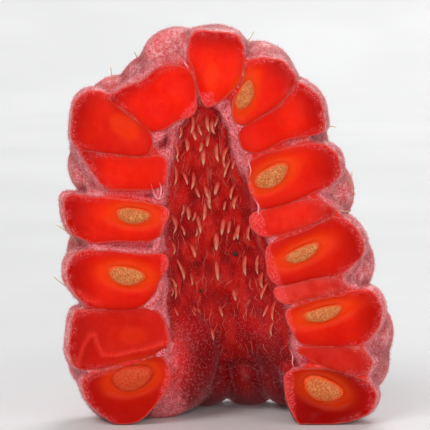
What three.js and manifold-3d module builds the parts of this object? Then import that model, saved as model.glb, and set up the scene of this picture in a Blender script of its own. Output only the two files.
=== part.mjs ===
import * as THREE from "three";
import Module from "manifold-3d";
import { mergeVertices } from "three/addons/utils/BufferGeometryUtils.js";

// Half of a raspberry, cut lengthwise through its hollow core and standing on its open base.
// Millimetres, +Z up. The cut plane is y = 0 with the cut face toward -Y, until the whole is
// centred at the end.

const wasm = await Module();
wasm.setup();

// The rounded outside: a leaning dome, measured over the tops of the drupelets.
const DOME_RADIUS = 8.4;
const DOME_TOP = 21.1;
const DOME_WIDEST_Z = 5;
const DOME_POWER = 2.3;
const BASE_TUCK = 0.035;
const AXIS_AT_FLOOR = 0.9;
const AXIS_SLOPE = -0.15;
const AXIS_BEND_Z = 15.5;

// Drupelets grow straight out from the axis at this share of their height plus a rise, within limits.
const ROOT_SHARE = 0.92;
const ROOT_RISE = 0.5;
const ROOT_LOWEST = 1.5;
const ROOT_HIGHEST = 14.5;

// One drupelet.
const LOBE_OUT = 1.6;
const LOBE_IN = 2.6;
const LOBE_IN_BASE = 3.0;
const LOBE_HALF_WIDTH = 1.84;
const LOBE_TAPER = 0.22;
const LOBE_SIDES = 11;
const LOBE_RINGS = 7;

// Whole drupelets push each other apart where they are nearer than PUSH_REACH.
const FREE_LOBES = 32;
const PUSH_REACH = 3.965;
const PUSH_SHARE = 0.22;
const PUSH_STEPS = 240;
const NEAREST_Y = 2.1;
const LOWEST_CENTRE = 1.66;
const LEAST_APART = 0.1;
const START_RADIUS = 5;
const START_RISE = 16.5;
const START_CROWDING = 0.8;
const START_FAN = [0.1, 0.9];
const GOLDEN_SHARE = 0.618034;
const HALVINGS = 30;

// The flesh that joins the drupelets lies this far under their tops, from FLESH_BOTTOM up.
// BASE_TOP is where the drupelets of the base end.
const FLESH_DEPTH = 1.35;
const FLESH_BOTTOM = 1.6;
const FLESH_SIDES = 18;
const FLESH_STATIONS = [0, 0.15, 0.35, 0.55, 0.72, 0.85, 0.94, 0.985];
const BASE_TOP = 4.7;

// Cut drupelets: the face stands PILLOW proud of the cut plane, with a rounded rim of two rings
// [scale, share of PILLOW]. Behind the cut each swells, then closes over three more rings. Its
// middle moves a little toward the core, by CORE_LEAN.
const PILLOW = 0.25;
const PILLOW_TOP = 1.1;
const PILLOW_RINGS = [[0.86, 1], [0.98, 0.4]];
const CUT_BACK = 1.9;
const CUT_RINGS = [0.25, 0.6, 0.88];
const CORE_LEAN = 0.1;
const OUTLINE_POINTS = 18;

// The hollow core: [height, centre x, radius]. Under FLARE the flesh gives way to the bare inner
// ends of the lowest drupelets.
const CORE_SIDES = 20;
const FLARE = [
  [-1.0, 0.3, 6.2],
  [3.9, 0.2, 3.1],
];
const CORE = [
  [-1.0, -0.1, 3.5],
  [1.2, -0.1, 3.45],
  [2.9, 0.05, 3.15],
  [4.4, 0.2, 3.25],
  [6.7, -0.15, 3.1],
  [9.3, -0.65, 2.7],
  [11.9, -0.95, 2.35],
  [14.0, -1.3, 1.8],
  [16.4, -1.25, 0.95],
  [17.1, -1.2, 0.35],
];

// Cut faces, as closed smooth outlines of [x, z]; deep is how far behind the cut the widest
// section lies.
const CUT_LOBES = [
  { deep: 0.95, outline: [[-1.66, 20.5], [-0.52, 20.5], [0.42, 20.3], [0.73, 19.5],
    [0.62, 18.3], [0.21, 17.6], [-1.04, 16.8], [-1.51, 17.8], [-1.77, 18.8], [-2.0, 19.3], [-1.92, 20.0]] },
  { deep: 0.95, outline: [[-6.0, 17.1], [-5.6, 17.5], [-4.3, 18.1], [-3.5, 18.7],
    [-2.5, 18.75], [-1.92, 18.3], [-1.72, 17.3], [-1.87, 16.4], [-2.76, 16.0], [-3.4, 15.6],
    [-4.06, 15.55], [-4.94, 16.35]] },
  { deep: 0.9, outline: [[-7.8, 16.95], [-7.2, 17.45], [-6.5, 17.4], [-6.1, 17.0],
    [-5.2, 16.25], [-4.1, 15.4], [-4.06, 14.5], [-4.6, 14.2], [-6.1, 14.35], [-7.5, 14.55],
    [-8.0, 15.0], [-8.0, 16.0]] },
  { deep: 1.2, outline: [[-7.5, 14.4], [-6.1, 14.2], [-4.6, 14.05], [-3.5, 14.1],
    [-3.2, 13.5], [-3.4, 12.7], [-4.06, 12.5], [-5.4, 12.5], [-6.25, 12.6], [-6.9, 13.3], [-7.3, 13.9]] },
  { deep: 0.95, outline: [[-8.27, 12.05], [-7.0, 11.95], [-6.1, 11.9], [-4.4, 11.7],
    [-3.2, 11.35], [-3.4, 10.5], [-3.9, 9.85], [-5.7, 9.8], [-6.9, 9.7], [-7.55, 9.9], [-8.15, 10.3],
    [-8.4, 11.2]] },
  { deep: 0.95, outline: [[-7.2, 9.15], [-6.3, 9.15], [-4.4, 8.95], [-3.4, 8.95],
    [-3.2, 8.4], [-3.6, 7.7], [-3.95, 6.95], [-4.6, 6.3], [-5.5, 6.15], [-6.9, 6.25], [-7.5, 6.6],
    [-8.2, 7.5], [-8.25, 8.4], [-7.9, 8.95]] },
  { deep: 0.95, outline: [[-7.65, 6.0], [-6.1, 6.1], [-4.0, 6.1], [-3.3, 5.3],
    [-3.2, 4.3], [-3.8, 3.85], [-4.5, 3.6], [-5.8, 3.3], [-6.7, 3.05], [-7.8, 3.1], [-8.2, 3.75],
    [-8.15, 4.85], [-8.0, 5.7]] },
  { deep: 0.95, outline: [[-7.4, 2.5], [-6.7, 2.8], [-5.1, 3.15], [-3.65, 3.6],
    [-3.1, 2.9], [-3.2, 2.1], [-3.8, 1.2], [-4.5, 0.45], [-5.25, 0.16], [-6.0, 0.24], [-6.7, 0.75],
    [-7.3, 1.4], [-7.5, 2.0]] },
  { deep: 0.95, outline: [[0.95, 18.8], [1.25, 19.1], [2.0, 19.15], [2.75, 19.0],
    [3.2, 18.5], [3.4, 18.1], [3.15, 17.6], [2.55, 16.85], [1.7, 16.3], [0.9, 15.8], [0.42, 16.0],
    [0.3, 16.75], [0.6, 17.6], [0.83, 18.2]] },
  { deep: 0.95, outline: [[3.6, 17.85], [4.06, 17.65], [4.6, 17.15], [4.85, 16.4],
    [4.85, 15.5], [3.9, 15.25], [3.0, 15.1], [2.2, 14.65], [1.45, 14.35], [0.8, 14.65], [0.62, 15.4],
    [1.0, 15.75], [1.8, 16.15], [2.7, 16.75], [3.3, 17.45]] },
  { deep: 0.95, outline: [[3.1, 14.5], [4.4, 14.75], [5.15, 14.55], [5.6, 14.1],
    [5.7, 13.3], [5.3, 12.75], [4.6, 12.4], [3.5, 11.9], [2.0, 11.45], [1.45, 11.9], [1.15, 12.7],
    [1.15, 13.6], [1.45, 14.0], [2.2, 14.3]] },
  { deep: 1.2, outline: [[1.2, 10.9], [1.8, 11.3], [3.1, 11.65], [4.5, 11.85],
    [5.15, 11.55], [5.5, 11.2], [4.9, 10.85], [4.4, 10.65], [3.1, 10.2], [2.0, 10.05], [1.4, 10.3]] },
  { deep: 0.95, outline: [[2.2, 9.45], [3.75, 10.1], [4.8, 10.6], [5.7, 10.9],
    [6.45, 10.5], [6.9, 9.8], [6.95, 9.15], [6.45, 8.55], [5.65, 8.0], [4.5, 7.8], [3.2, 7.5],
    [2.5, 7.55], [2.1, 8.3]] },
  { deep: 1.2, outline: [[2.6, 7.25], [3.85, 7.6], [5.3, 7.8], [5.9, 7.5],
    [5.95, 7.2], [5.3, 7.0], [4.5, 6.8], [3.5, 6.55], [2.95, 6.55], [2.55, 6.85]] },
  { deep: 0.95, outline: [[3.1, 5.95], [3.75, 6.3], [4.8, 6.65], [6.0, 6.85],
    [6.45, 7.05], [7.2, 7.1], [7.7, 6.75], [7.95, 6.0], [7.7, 5.1], [7.0, 4.4], [6.1, 4.25],
    [5.0, 4.25], [3.9, 4.4], [3.35, 5.1]] },
  { deep: 1.2, outline: [[3.75, 4.05], [4.8, 4.1], [5.8, 4.15], [6.55, 4.05],
    [7.3, 3.65], [7.45, 3.2], [6.95, 2.7], [6.0, 2.85], [5.0, 3.2], [4.15, 3.65]] },
  { deep: 0.95, outline: [[3.1, 2.65], [3.75, 2.9], [4.9, 2.95], [6.1, 2.7],
    [7.05, 2.35], [7.6, 1.75], [7.6, 1.15], [7.2, 0.6], [6.45, 0.3], [5.1, 0.1], [3.9, 0.12],
    [3.4, 0.8], [3.1, 1.65]] },
];

// Whole drupelets that show at the silhouette between the cut ones: lobe centres [x, y, z].
const EDGE_LOBES = [
  [-6.8, 2.2, 13.6],
  [-4.0, 2.3, 17.7],
  [-3.1, 1.9, 19.4],
  [5.05, 2.2, 12.1],
  [6.15, 2.2, 8.3],
  [7.2, 2.3, 4.6],
  [3.3, 2.2, 16.5],
  [-6.9, 2.3, 8.9],
  [-6.9, 2.3, 3.2],
  [-4.9, 3.0, 1.75],
];

// Drupelets of the base that bulge into the hollow's foot: centre, half sizes across, back and
// along, and the lean of their long side to the right in degrees.
const FOOT_SIDES = 14;
const FOOT_RINGS = 9;
const FOOT_LOBES = [
  { at: [-3.55, 2.85, 3.2], half: [3.0, 2.8, 3.3], lean: 0 },
  { at: [3.1, 3.4, 3.85], half: [1.7, 1.9, 3.2], lean: -45 },
];

// Seeds bared by the cut: centre [x, z], half length, half thickness, tilt in degrees.
const SEEDS = [
  { at: [-4.9, 11.1], half: [1.1, 0.52], tilt: -5 },
  { at: [-5.25, 7.95], half: [1.18, 0.6], tilt: -8 },
  { at: [-5.0, 2.55], half: [1.32, 0.78], tilt: 14 },
  { at: [0.85, 17.35], half: [1.0, 0.5], tilt: 68 },
  { at: [2.26, 13.15], half: [1.2, 0.62], tilt: 31 },
  { at: [3.87, 9.13], half: [1.2, 0.46], tilt: 26 },
  { at: [4.97, 5.95], half: [1.27, 0.46], tilt: 15 },
  { at: [5.0, 1.95], half: [1.28, 0.72], tilt: -20 },
];
const SEED_HALF_DEPTH = 0.46;
const SEED_CENTRE_Y = 0.02;
const SEED_GAP = 0.09;
const SEED_DETAIL = 1;
const SEED_BEND = 0.16;
const SEED_TAPER = 0.14;
const SEED_DROP = 0.07;

// Torn vascular pegs inside the hollow, as seen from the front: [x, z] of each root.
const PEGS = [
  [-1.9, 16.3], [-2.4, 15.7], [-1.1, 16.2], [-0.8, 16.0], [-2.8, 14.8], [-2.2, 15.0], [-1.3, 14.5],
  [-0.6, 14.7], [-0.1, 14.5], [0.1, 13.9], [-2.8, 13.6], [-2.4, 13.2], [-1.8, 13.1], [-0.5, 12.6],
  [-1.0, 12.2], [0.3, 12.5], [0.5, 11.9], [-2.9, 10.9], [-2.1, 11.3], [-1.6, 10.8], [-1.2, 11.5],
  [-0.2, 10.6], [0.6, 10.3], [1.1, 10.3], [-0.6, 9.8], [-2.9, 9.5], [-2.0, 9.3], [0.9, 8.6],
  [1.6, 8.5], [-0.6, 8.3], [-2.8, 7.4], [-2.5, 8.3], [1.8, 7.8], [2.1, 7.2], [-2.9, 6.0],
  [-2.8, 4.9], [-2.3, 4.4], [-1.1, 4.7], [2.5, 6.3], [2.7, 5.2],
];
const PEG_RADIUS = 0.24;
const PEG_LENGTH = 0.95;
const PEG_ROOT = 0.45;
const PEG_SUNK = 0.1;
const PEG_SWAY = 0.22;
const PEG_SWAY_STEP = 2.4;
const PEG_LEAN = 0.4;
const PEG_LEAN_LEAST = 0.1;
const PEG_SIDE_MOST = 0.96;
const PEG_LENGTH_SHARES = [0.8, 1.1];
const PEG_LENGTH_STEP = 1.7;

// Dried styles, the hairs of the outside: root [x, y, z] near the skin, and direction.
const STYLES = [
  { root: [-5.7, 1.2, 18.0], way: [-0.45, -0.1, 1], length: 0.9 },
  { root: [-4.4, 2.0, 18.9], way: [-0.6, 0, 1], length: 0.8 },
  { root: [1.0, 1.0, 20.1], way: [0.9, -0.1, 0.6], length: 0.9 },
  { root: [5.2, 0.9, 15.6], way: [1, 0, 0.05], length: 0.9 },
  { root: [6.3, 1.6, 12.3], way: [0.35, 0, 1], length: 1.2 },
  { root: [-8.0, 0.8, 9.7], way: [-1, -0.15, 0.75], length: 1.5 },
  { root: [-8.2, 0.8, 6.9], way: [-0.9, -0.2, 0.85], length: 1.5 },
  { root: [6.9, 1.8, 8.3], way: [0.5, 0, 1], length: 1.1 },
  { root: [-3.0, 6.3, 15.2], way: [-0.3, 1, 0.6], length: 1.1 },
  { root: [1.4, 6.8, 12.6], way: [0.3, 1, 0.5], length: 1.2 },
  { root: [-5.4, 5.8, 9.6], way: [-0.7, 1, 0.4], length: 1.2 },
  { root: [4.4, 6.4, 8.2], way: [0.6, 1, 0.3], length: 1.1 },
  { root: [-1.0, 8.0, 7.4], way: [0.1, 1, 0.6], length: 1.2 },
  { root: [-4.6, 6.8, 4.6], way: [-0.5, 1, 0.2], length: 1.1 },
  { root: [3.2, 7.4, 4.2], way: [0.4, 1, 0.5], length: 1.0 },
];
const STYLE_RADIUS = 0.08;
const STYLE_ROOT = 1.1;
const STYLE_DEPTH = 0.7;

// Boxes that trim the fruit at the cut plane and at the floor reach well past it.
const TRIM_SIDE = 20;
const TRIM_TOP = 30;
const MERGE_REACH = 1e-5;

// Merges a geometry's shared corners and makes a solid of it.
function solidOf(geometry) {
  geometry.deleteAttribute("normal");
  geometry.deleteAttribute("uv");
  const merged = mergeVertices(geometry, MERGE_REACH);
  const mesh = new wasm.Mesh({
    numProp: 3,
    vertProperties: merged.attributes.position.array,
    triVerts: merged.index.array,
  });
  return new wasm.Manifold(mesh);
}

// A closed skin over rings of equally many points, from a start point to an end point.
function loft(rings, start, end) {
  const count = rings[0].length;
  const corners = [start, ...rings.flat(), end];
  const last = corners.length - 1;
  const index = [];
  for (let i = 0; i < count; i++) {
    const next = (i + 1) % count;
    index.push(0, 1 + i, 1 + next);
    for (let r = 0; r + 1 < rings.length; r++) {
      const here = 1 + r * count;
      const beyond = here + count;
      index.push(here + i, beyond + i, here + next);
      index.push(here + next, beyond + i, beyond + next);
    }
    index.push(last, last - count + next, last - count + i);
  }
  const geometry = new THREE.BufferGeometry();
  geometry.setFromPoints(corners);
  geometry.setIndex(index);
  return geometry;
}

function axisX(z) {
  return AXIS_AT_FLOOR + AXIS_SLOPE * Math.min(z, AXIS_BEND_Z);
}

// Radius of the dome at a height, lowered by a depth all round.
function domeRadius(z, depth) {
  const radius = DOME_RADIUS - depth;
  if (z < DOME_WIDEST_Z) {
    return radius - BASE_TUCK * (DOME_WIDEST_Z - z) ** 2;
  }
  const share = (z - DOME_WIDEST_Z) / (DOME_TOP - depth - DOME_WIDEST_Z);
  return radius * Math.max(0, 1 - share ** DOME_POWER) ** (1 / DOME_POWER);
}

// The point of the core that a drupelet grows out from.
function corePoint(z) {
  const height = THREE.MathUtils.clamp(z * ROOT_SHARE + ROOT_RISE, ROOT_LOWEST, ROOT_HIGHEST);
  return new THREE.Vector3(axisX(height), 0, height);
}

// The point of the lowered dome straight out from the core through p.
function ontoDome(p, depth) {
  const core = corePoint(p.z);
  const way = p.clone().sub(core).normalize();
  let inside = 0;
  let outside = 2 * DOME_TOP;
  for (let i = 0; i < HALVINGS; i++) {
    const middle = (inside + outside) / 2;
    const q = core.clone().addScaledVector(way, middle);
    const radius = Math.hypot(q.x - axisX(q.z), q.y);
    if (q.z < DOME_TOP - depth && radius < domeRadius(q.z, depth)) {
      inside = middle;
    } else {
      outside = middle;
    }
  }
  return core.addScaledVector(way, inside);
}

function outlineCentre(outline) {
  const centre = new THREE.Vector2();
  outline.forEach(([x, z]) => centre.add(new THREE.Vector2(x, z)));
  return centre.divideScalar(outline.length);
}

// Where the outer lobe of a cut drupelet has its centre.
function cutLobeCentre({ outline, deep }) {
  const centre = outlineCentre(outline);
  return ontoDome(new THREE.Vector3(centre.x, deep, centre.y), LOBE_OUT);
}

// Whole drupelets of the back, spread evenly between the cut ones by pushing each other apart.
function spreadLobes() {
  const fixed = [
    ...CUT_LOBES.map(cutLobeCentre),
    ...EDGE_LOBES.map(([x, y, z]) => new THREE.Vector3(x, y, z)),
  ];
  const free = [];
  for (let i = 0; i < FREE_LOBES; i++) {
    const angle = Math.PI * THREE.MathUtils.lerp(...START_FAN, (i * GOLDEN_SHARE) % 1);
    const z = LOWEST_CENTRE + START_RISE * (1 - ((i + 0.5) / FREE_LOBES) ** START_CROWDING);
    const x = axisX(z) + START_RADIUS * Math.cos(angle);
    free.push(ontoDome(new THREE.Vector3(x, START_RADIUS * Math.sin(angle), z), LOBE_OUT));
  }
  for (let step = 0; step < PUSH_STEPS; step++) {
    for (const p of free) {
      const push = new THREE.Vector3();
      for (const q of [...free, ...fixed]) {
        const away = p.clone().sub(q);
        const distance = away.length();
        if (q !== p && distance < PUSH_REACH) {
          const share = (PUSH_SHARE * (PUSH_REACH - distance)) / Math.max(distance, LEAST_APART);
          push.addScaledVector(away, share);
        }
      }
      p.add(push);
      p.y = Math.max(p.y, NEAREST_Y);
      p.z = Math.max(p.z, LOWEST_CENTRE);
      p.copy(ontoDome(p, LOBE_OUT));
      p.z = Math.max(p.z, LOWEST_CENTRE);
    }
  }
  return [...fixed.slice(CUT_LOBES.length), ...free];
}

// One whole drupelet: an egg with its blunt end outward.
function wholeLobe(centre) {
  const way = centre.clone().sub(corePoint(centre.z)).normalize();
  const inward = centre.z < BASE_TOP ? LOBE_IN_BASE : LOBE_IN;
  const turn = new THREE.Quaternion().setFromUnitVectors(new THREE.Vector3(0, 1, 0), way);
  const geometry = new THREE.SphereGeometry(1, LOBE_SIDES, LOBE_RINGS);
  const position = geometry.attributes.position;
  const p = new THREE.Vector3();
  for (let i = 0; i < position.count; i++) {
    p.fromBufferAttribute(position, i);
    const width = LOBE_HALF_WIDTH * (1 - LOBE_TAPER * Math.max(0, -p.y));
    p.set(p.x * width, p.y * (p.y > 0 ? LOBE_OUT : inward), p.z * width);
    p.applyQuaternion(turn).add(centre);
    position.setXYZ(i, p.x, p.y, p.z);
  }
  return solidOf(geometry);
}

// A drupelet of the base as an upright or leaning egg of given half sizes.
function footLobe({ at, half, lean }) {
  const geometry = new THREE.SphereGeometry(1, FOOT_SIDES, FOOT_RINGS);
  geometry.rotateX(Math.PI / 2);
  geometry.scale(...half);
  geometry.rotateY(THREE.MathUtils.degToRad(lean));
  geometry.translate(...at);
  return solidOf(geometry);
}

// A ring of an outline, scaled about a point and set at a depth.
function outlineRing(points, about, scale, y) {
  return points.map((p) => new THREE.Vector3(
    about.x + (p.x - about.x) * scale,
    y,
    about.y + (p.z - about.y) * scale,
  ));
}

// One cut drupelet: a raised face, its widest section behind the cut, then a rounded back.
function cutLobe({ outline, deep }) {
  const corners = outline.map(([x, z]) => new THREE.Vector3(x, 0, z));
  const shape = new THREE.Shape(corners.map((p) => new THREE.Vector2(p.x, p.z)));
  if (THREE.ShapeUtils.area(shape.getPoints()) < 0) {
    corners.reverse();
  }
  const curve = new THREE.CatmullRomCurve3(corners, true, "catmullrom", 0.5);
  const points = curve.getSpacedPoints(OUTLINE_POINTS).slice(0, OUTLINE_POINTS);
  const centre = outlineCentre(outline);
  const core = corePoint(centre.y);
  const anchor = centre.clone().lerp(new THREE.Vector2(core.x, core.z), CORE_LEAN);
  const rings = PILLOW_RINGS.map(([scale, share]) => outlineRing(points, centre, scale, -share * PILLOW));
  const spread = (y) => Math.sqrt(1 - ((y - deep) / CUT_BACK) ** 2);
  for (const share of CUT_RINGS) {
    const y = share * (deep + CUT_BACK);
    rings.push(outlineRing(points, anchor, spread(y) / spread(0), y));
  }
  const front = new THREE.Vector3(centre.x, -PILLOW_TOP * PILLOW, centre.y);
  const back = new THREE.Vector3(anchor.x, deep + CUT_BACK, anchor.y);
  return solidOf(loft(rings, front, back));
}

// A leaning body of level rings: stations are [height, centre x, radius].
function leaningBody(stations, sides) {
  const rings = stations.map(([z, x, radius]) => Array.from({ length: sides }, (_, i) => {
    const angle = (-2 * Math.PI * i) / sides;
    return new THREE.Vector3(x + radius * Math.cos(angle), radius * Math.sin(angle), z);
  }));
  const [firstZ, firstX] = stations[0];
  const [lastZ, lastX] = stations[stations.length - 1];
  const start = new THREE.Vector3(firstX, 0, firstZ);
  const end = new THREE.Vector3(lastX, 0, lastZ);
  return solidOf(loft(rings, start, end));
}

function fleshStations() {
  const stations = [];
  const top = DOME_TOP - FLESH_DEPTH;
  for (const share of FLESH_STATIONS) {
    const z = FLESH_BOTTOM + (top - FLESH_BOTTOM) * share;
    stations.push([z, axisX(z), domeRadius(z, FLESH_DEPTH)]);
  }
  return stations;
}

// A thin three-sided spike from a root point, its foot sunk back along its own way.
function spike(root, way, length, sunk, radius) {
  const geometry = new THREE.ConeGeometry(radius, length + sunk, 3);
  geometry.translate(0, (length + sunk) / 2 - sunk, 0);
  const up = new THREE.Vector3(0, 1, 0);
  geometry.applyQuaternion(new THREE.Quaternion().setFromUnitVectors(up, way.clone().normalize()));
  geometry.translate(root.x, root.y, root.z);
  return solidOf(geometry);
}

function coreAt(z) {
  const above = Math.max(1, CORE.findIndex((station) => station[0] >= z));
  const [z0, x0, r0] = CORE[above - 1];
  const [z1, x1, r1] = CORE[above];
  const share = (z - z0) / (z1 - z0);
  return { x: x0 + (x1 - x0) * share, radius: r0 + (r1 - r0) * share };
}

// A peg hangs from the wall of the hollow, a little way into it.
function peg([x, z], i) {
  const { x: centreX, radius } = coreAt(z);
  const side = THREE.MathUtils.clamp((x - centreX) / radius, -PEG_SIDE_MOST, PEG_SIDE_MOST);
  const back = Math.sqrt(1 - side * side);
  const root = new THREE.Vector3(centreX + radius * side, radius * back, z);
  const sway = PEG_SWAY * Math.sin(i * PEG_SWAY_STEP);
  const way = new THREE.Vector3(sway - PEG_LEAN * side, -PEG_LEAN * back - PEG_LEAN_LEAST, -1);
  const share = THREE.MathUtils.lerp(...PEG_LENGTH_SHARES, Math.sin(i * PEG_LENGTH_STEP) ** 2);
  root.addScaledVector(way, -PEG_SUNK);
  return spike(root, way, PEG_LENGTH * share, PEG_ROOT, PEG_RADIUS);
}

// A style grows out of the skin near a point, from a foot well under it.
function style({ root, way, length }) {
  const foot = ontoDome(new THREE.Vector3(...root), STYLE_DEPTH);
  return spike(foot, new THREE.Vector3(...way), length + STYLE_DEPTH, STYLE_ROOT, STYLE_RADIUS);
}

// A seed: a bean with one long edge fuller than the other, swollen by a gap for its pocket.
function seedSolid({ at, half, tilt }, gap) {
  const geometry = new THREE.IcosahedronGeometry(1, SEED_DETAIL);
  const position = geometry.attributes.position;
  const angle = THREE.MathUtils.degToRad(tilt);
  const p = new THREE.Vector3();
  for (let i = 0; i < position.count; i++) {
    p.fromBufferAttribute(position, i);
    const bend = SEED_BEND * half[0] * p.x * p.x - SEED_DROP;
    const along = (half[0] + gap) * p.x;
    const across = (half[1] + gap) * p.z * (1 - SEED_TAPER * p.x) + bend;
    const depth = (SEED_HALF_DEPTH + gap) * p.y;
    position.setXYZ(
      i,
      at[0] + along * Math.cos(angle) - across * Math.sin(angle),
      SEED_CENTRE_Y + depth,
      at[1] + along * Math.sin(angle) + across * Math.cos(angle),
    );
  }
  return solidOf(geometry);
}

function box(low, high) {
  const size = high.map((value, i) => value - low[i]);
  const geometry = new THREE.BoxGeometry(...size);
  geometry.translate(...low.map((value, i) => value + size[i] / 2));
  return solidOf(geometry);
}

// The whole fruit: flesh and whole drupelets behind the cut, cut drupelets, hollow, trimmings.
function fruitSolid() {
  const behindCut = box([-TRIM_SIDE, 0, 0], [TRIM_SIDE, TRIM_SIDE, TRIM_TOP]);
  const aboveFloor = box([-TRIM_SIDE, -TRIM_SIDE, 0], [TRIM_SIDE, TRIM_SIDE, TRIM_TOP]);
  const hollow = leaningBody(CORE, CORE_SIDES);
  const flesh = leaningBody(fleshStations(), FLESH_SIDES).subtract(leaningBody(FLARE, CORE_SIDES));
  const rounded = spreadLobes().map(wholeLobe).reduce((body, lobe) => body.add(lobe), flesh);
  const cutFaces = CUT_LOBES.map(cutLobe).reduce((body, lobe) => body.add(lobe));
  let fruit = rounded.intersect(behindCut).add(cutFaces).subtract(hollow);
  fruit = FOOT_LOBES.map(footLobe).reduce((body, lobe) => body.add(lobe), fruit).intersect(aboveFloor);
  for (const hair of [...PEGS.map(peg), ...STYLES.map(style)]) {
    fruit = fruit.add(hair);
  }
  for (const seed of SEEDS) {
    fruit = fruit.subtract(seedSolid(seed, SEED_GAP));
  }
  return fruit;
}

// A named mesh of a solid.
function meshOf(name, solid, material) {
  const { vertProperties, triVerts } = solid.getMesh();
  const geometry = new THREE.BufferGeometry();
  geometry.setAttribute("position", new THREE.BufferAttribute(new Float32Array(vertProperties), 3));
  geometry.setIndex(Array.from(triVerts));
  geometry.computeVertexNormals();
  const mesh = new THREE.Mesh(geometry, material);
  mesh.name = name;
  return mesh;
}

const pulp = new THREE.MeshStandardMaterial({ color: 0xc81c16, roughness: 0.3, metalness: 0 });
const stone = new THREE.MeshStandardMaterial({ color: 0xe8a85c, roughness: 0.6, metalness: 0 });

const raspberry = new THREE.Group();
raspberry.name = "raspberry_half";
raspberry.add(meshOf("fruit", fruitSolid(), pulp));
SEEDS.forEach((seed, i) => {
  raspberry.add(meshOf(`seed_0${i + 1}`, seedSolid(seed, 0), stone));
});

// The origin is the middle of the base.
const bounds = new THREE.Box3().setFromObject(raspberry);
const middle = bounds.getCenter(new THREE.Vector3());
raspberry.position.set(-middle.x, -middle.y, -bounds.min.z);

export default raspberry;
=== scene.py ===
import math

import bpy
import numpy as np
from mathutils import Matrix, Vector


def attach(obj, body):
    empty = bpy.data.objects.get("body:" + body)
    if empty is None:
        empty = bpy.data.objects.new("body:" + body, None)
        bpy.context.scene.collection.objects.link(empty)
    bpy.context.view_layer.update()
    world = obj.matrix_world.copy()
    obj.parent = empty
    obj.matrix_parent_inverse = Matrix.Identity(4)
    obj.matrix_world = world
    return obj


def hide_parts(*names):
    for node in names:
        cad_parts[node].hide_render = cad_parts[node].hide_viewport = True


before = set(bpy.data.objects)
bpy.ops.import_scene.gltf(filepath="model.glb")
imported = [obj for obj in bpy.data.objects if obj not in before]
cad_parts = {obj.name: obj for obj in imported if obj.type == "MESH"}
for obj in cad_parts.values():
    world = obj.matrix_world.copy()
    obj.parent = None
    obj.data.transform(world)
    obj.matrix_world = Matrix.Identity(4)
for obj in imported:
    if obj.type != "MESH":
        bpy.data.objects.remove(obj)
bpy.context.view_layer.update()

# Half of a raspberry, cut lengthwise. Shapes are worked out in millimetres in the fruit's own
# frame, where the cut plane is y = 0 and the cut face looks toward -Y, then moved by ROW_SHIFT
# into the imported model's frame and written in metres.
MM = 0.001
ROW_SHIFT = np.array([0.463, -4.400, 0.0])

# The rounded outside: a leaning dome over the tops of the drupelets.
DOME_RADIUS = 8.4
DOME_TOP = 21.1
DOME_WIDEST_Z = 5.0
DOME_POWER = 2.3
BASE_TUCK = 0.035
AXIS_AT_FLOOR = 0.9
AXIS_SLOPE = -0.15
AXIS_BEND_Z = 15.5

# Drupelets grow straight out from the axis at this share of their height plus a rise, within limits.
ROOT_SHARE = 0.92
ROOT_RISE = 0.5
ROOT_LOWEST = 1.5
ROOT_HIGHEST = 14.5

# One drupelet.
LOBE_OUT = 1.6
LOBE_IN = 2.6
LOBE_IN_BASE = 3.0
LOBE_HALF_WIDTH = 1.84
LOBE_TAPER = 0.22

# Whole drupelets push each other apart where they are nearer than PUSH_REACH.
FREE_LOBES = 32
PUSH_REACH = 3.965
PUSH_SHARE = 0.22
PUSH_STEPS = 240
NEAREST_Y = 2.1
LOWEST_CENTRE = 1.66
LEAST_APART = 0.1
START_RADIUS = 5
START_RISE = 16.5
START_CROWDING = 0.8
FAN_START = 0.1
FAN_SPAN = 0.8
GOLDEN_SHARE = 0.618034
HALVINGS = 30

# The flesh that joins the drupelets.
FLESH_DEPTH = 1.35
FLESH_BOTTOM = 1.6
BASE_TOP = 4.7

# Cut drupelets close over CUT_BACK behind their widest section, and their middle moves a little
# toward the core, by CORE_LEAN.
CUT_BACK = 1.9
CUT_CLOSES = 0.985
CUT_ENDS = 0.97
CORE_LEAN = 0.1
OUTLINE_POINTS = 48

# The hollow core: [height, centre x, radius]. Under FLARE the flesh gives way to the lowest
# drupelets.
CORE = np.array([
    [-1.0, -0.1, 3.5], [1.2, -0.1, 3.45], [2.9, 0.05, 3.15], [4.4, 0.2, 3.25], [6.7, -0.15, 3.1],
    [9.3, -0.65, 2.7], [11.9, -0.95, 2.35], [14.0, -1.3, 1.8], [16.4, -1.25, 0.95], [17.1, -1.2, 0.35],
])
CORE_CLOSES = 0.2
FLARE = np.array([[-1.0, 0.3, 6.2], [3.9, 0.2, 3.1]])

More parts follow.
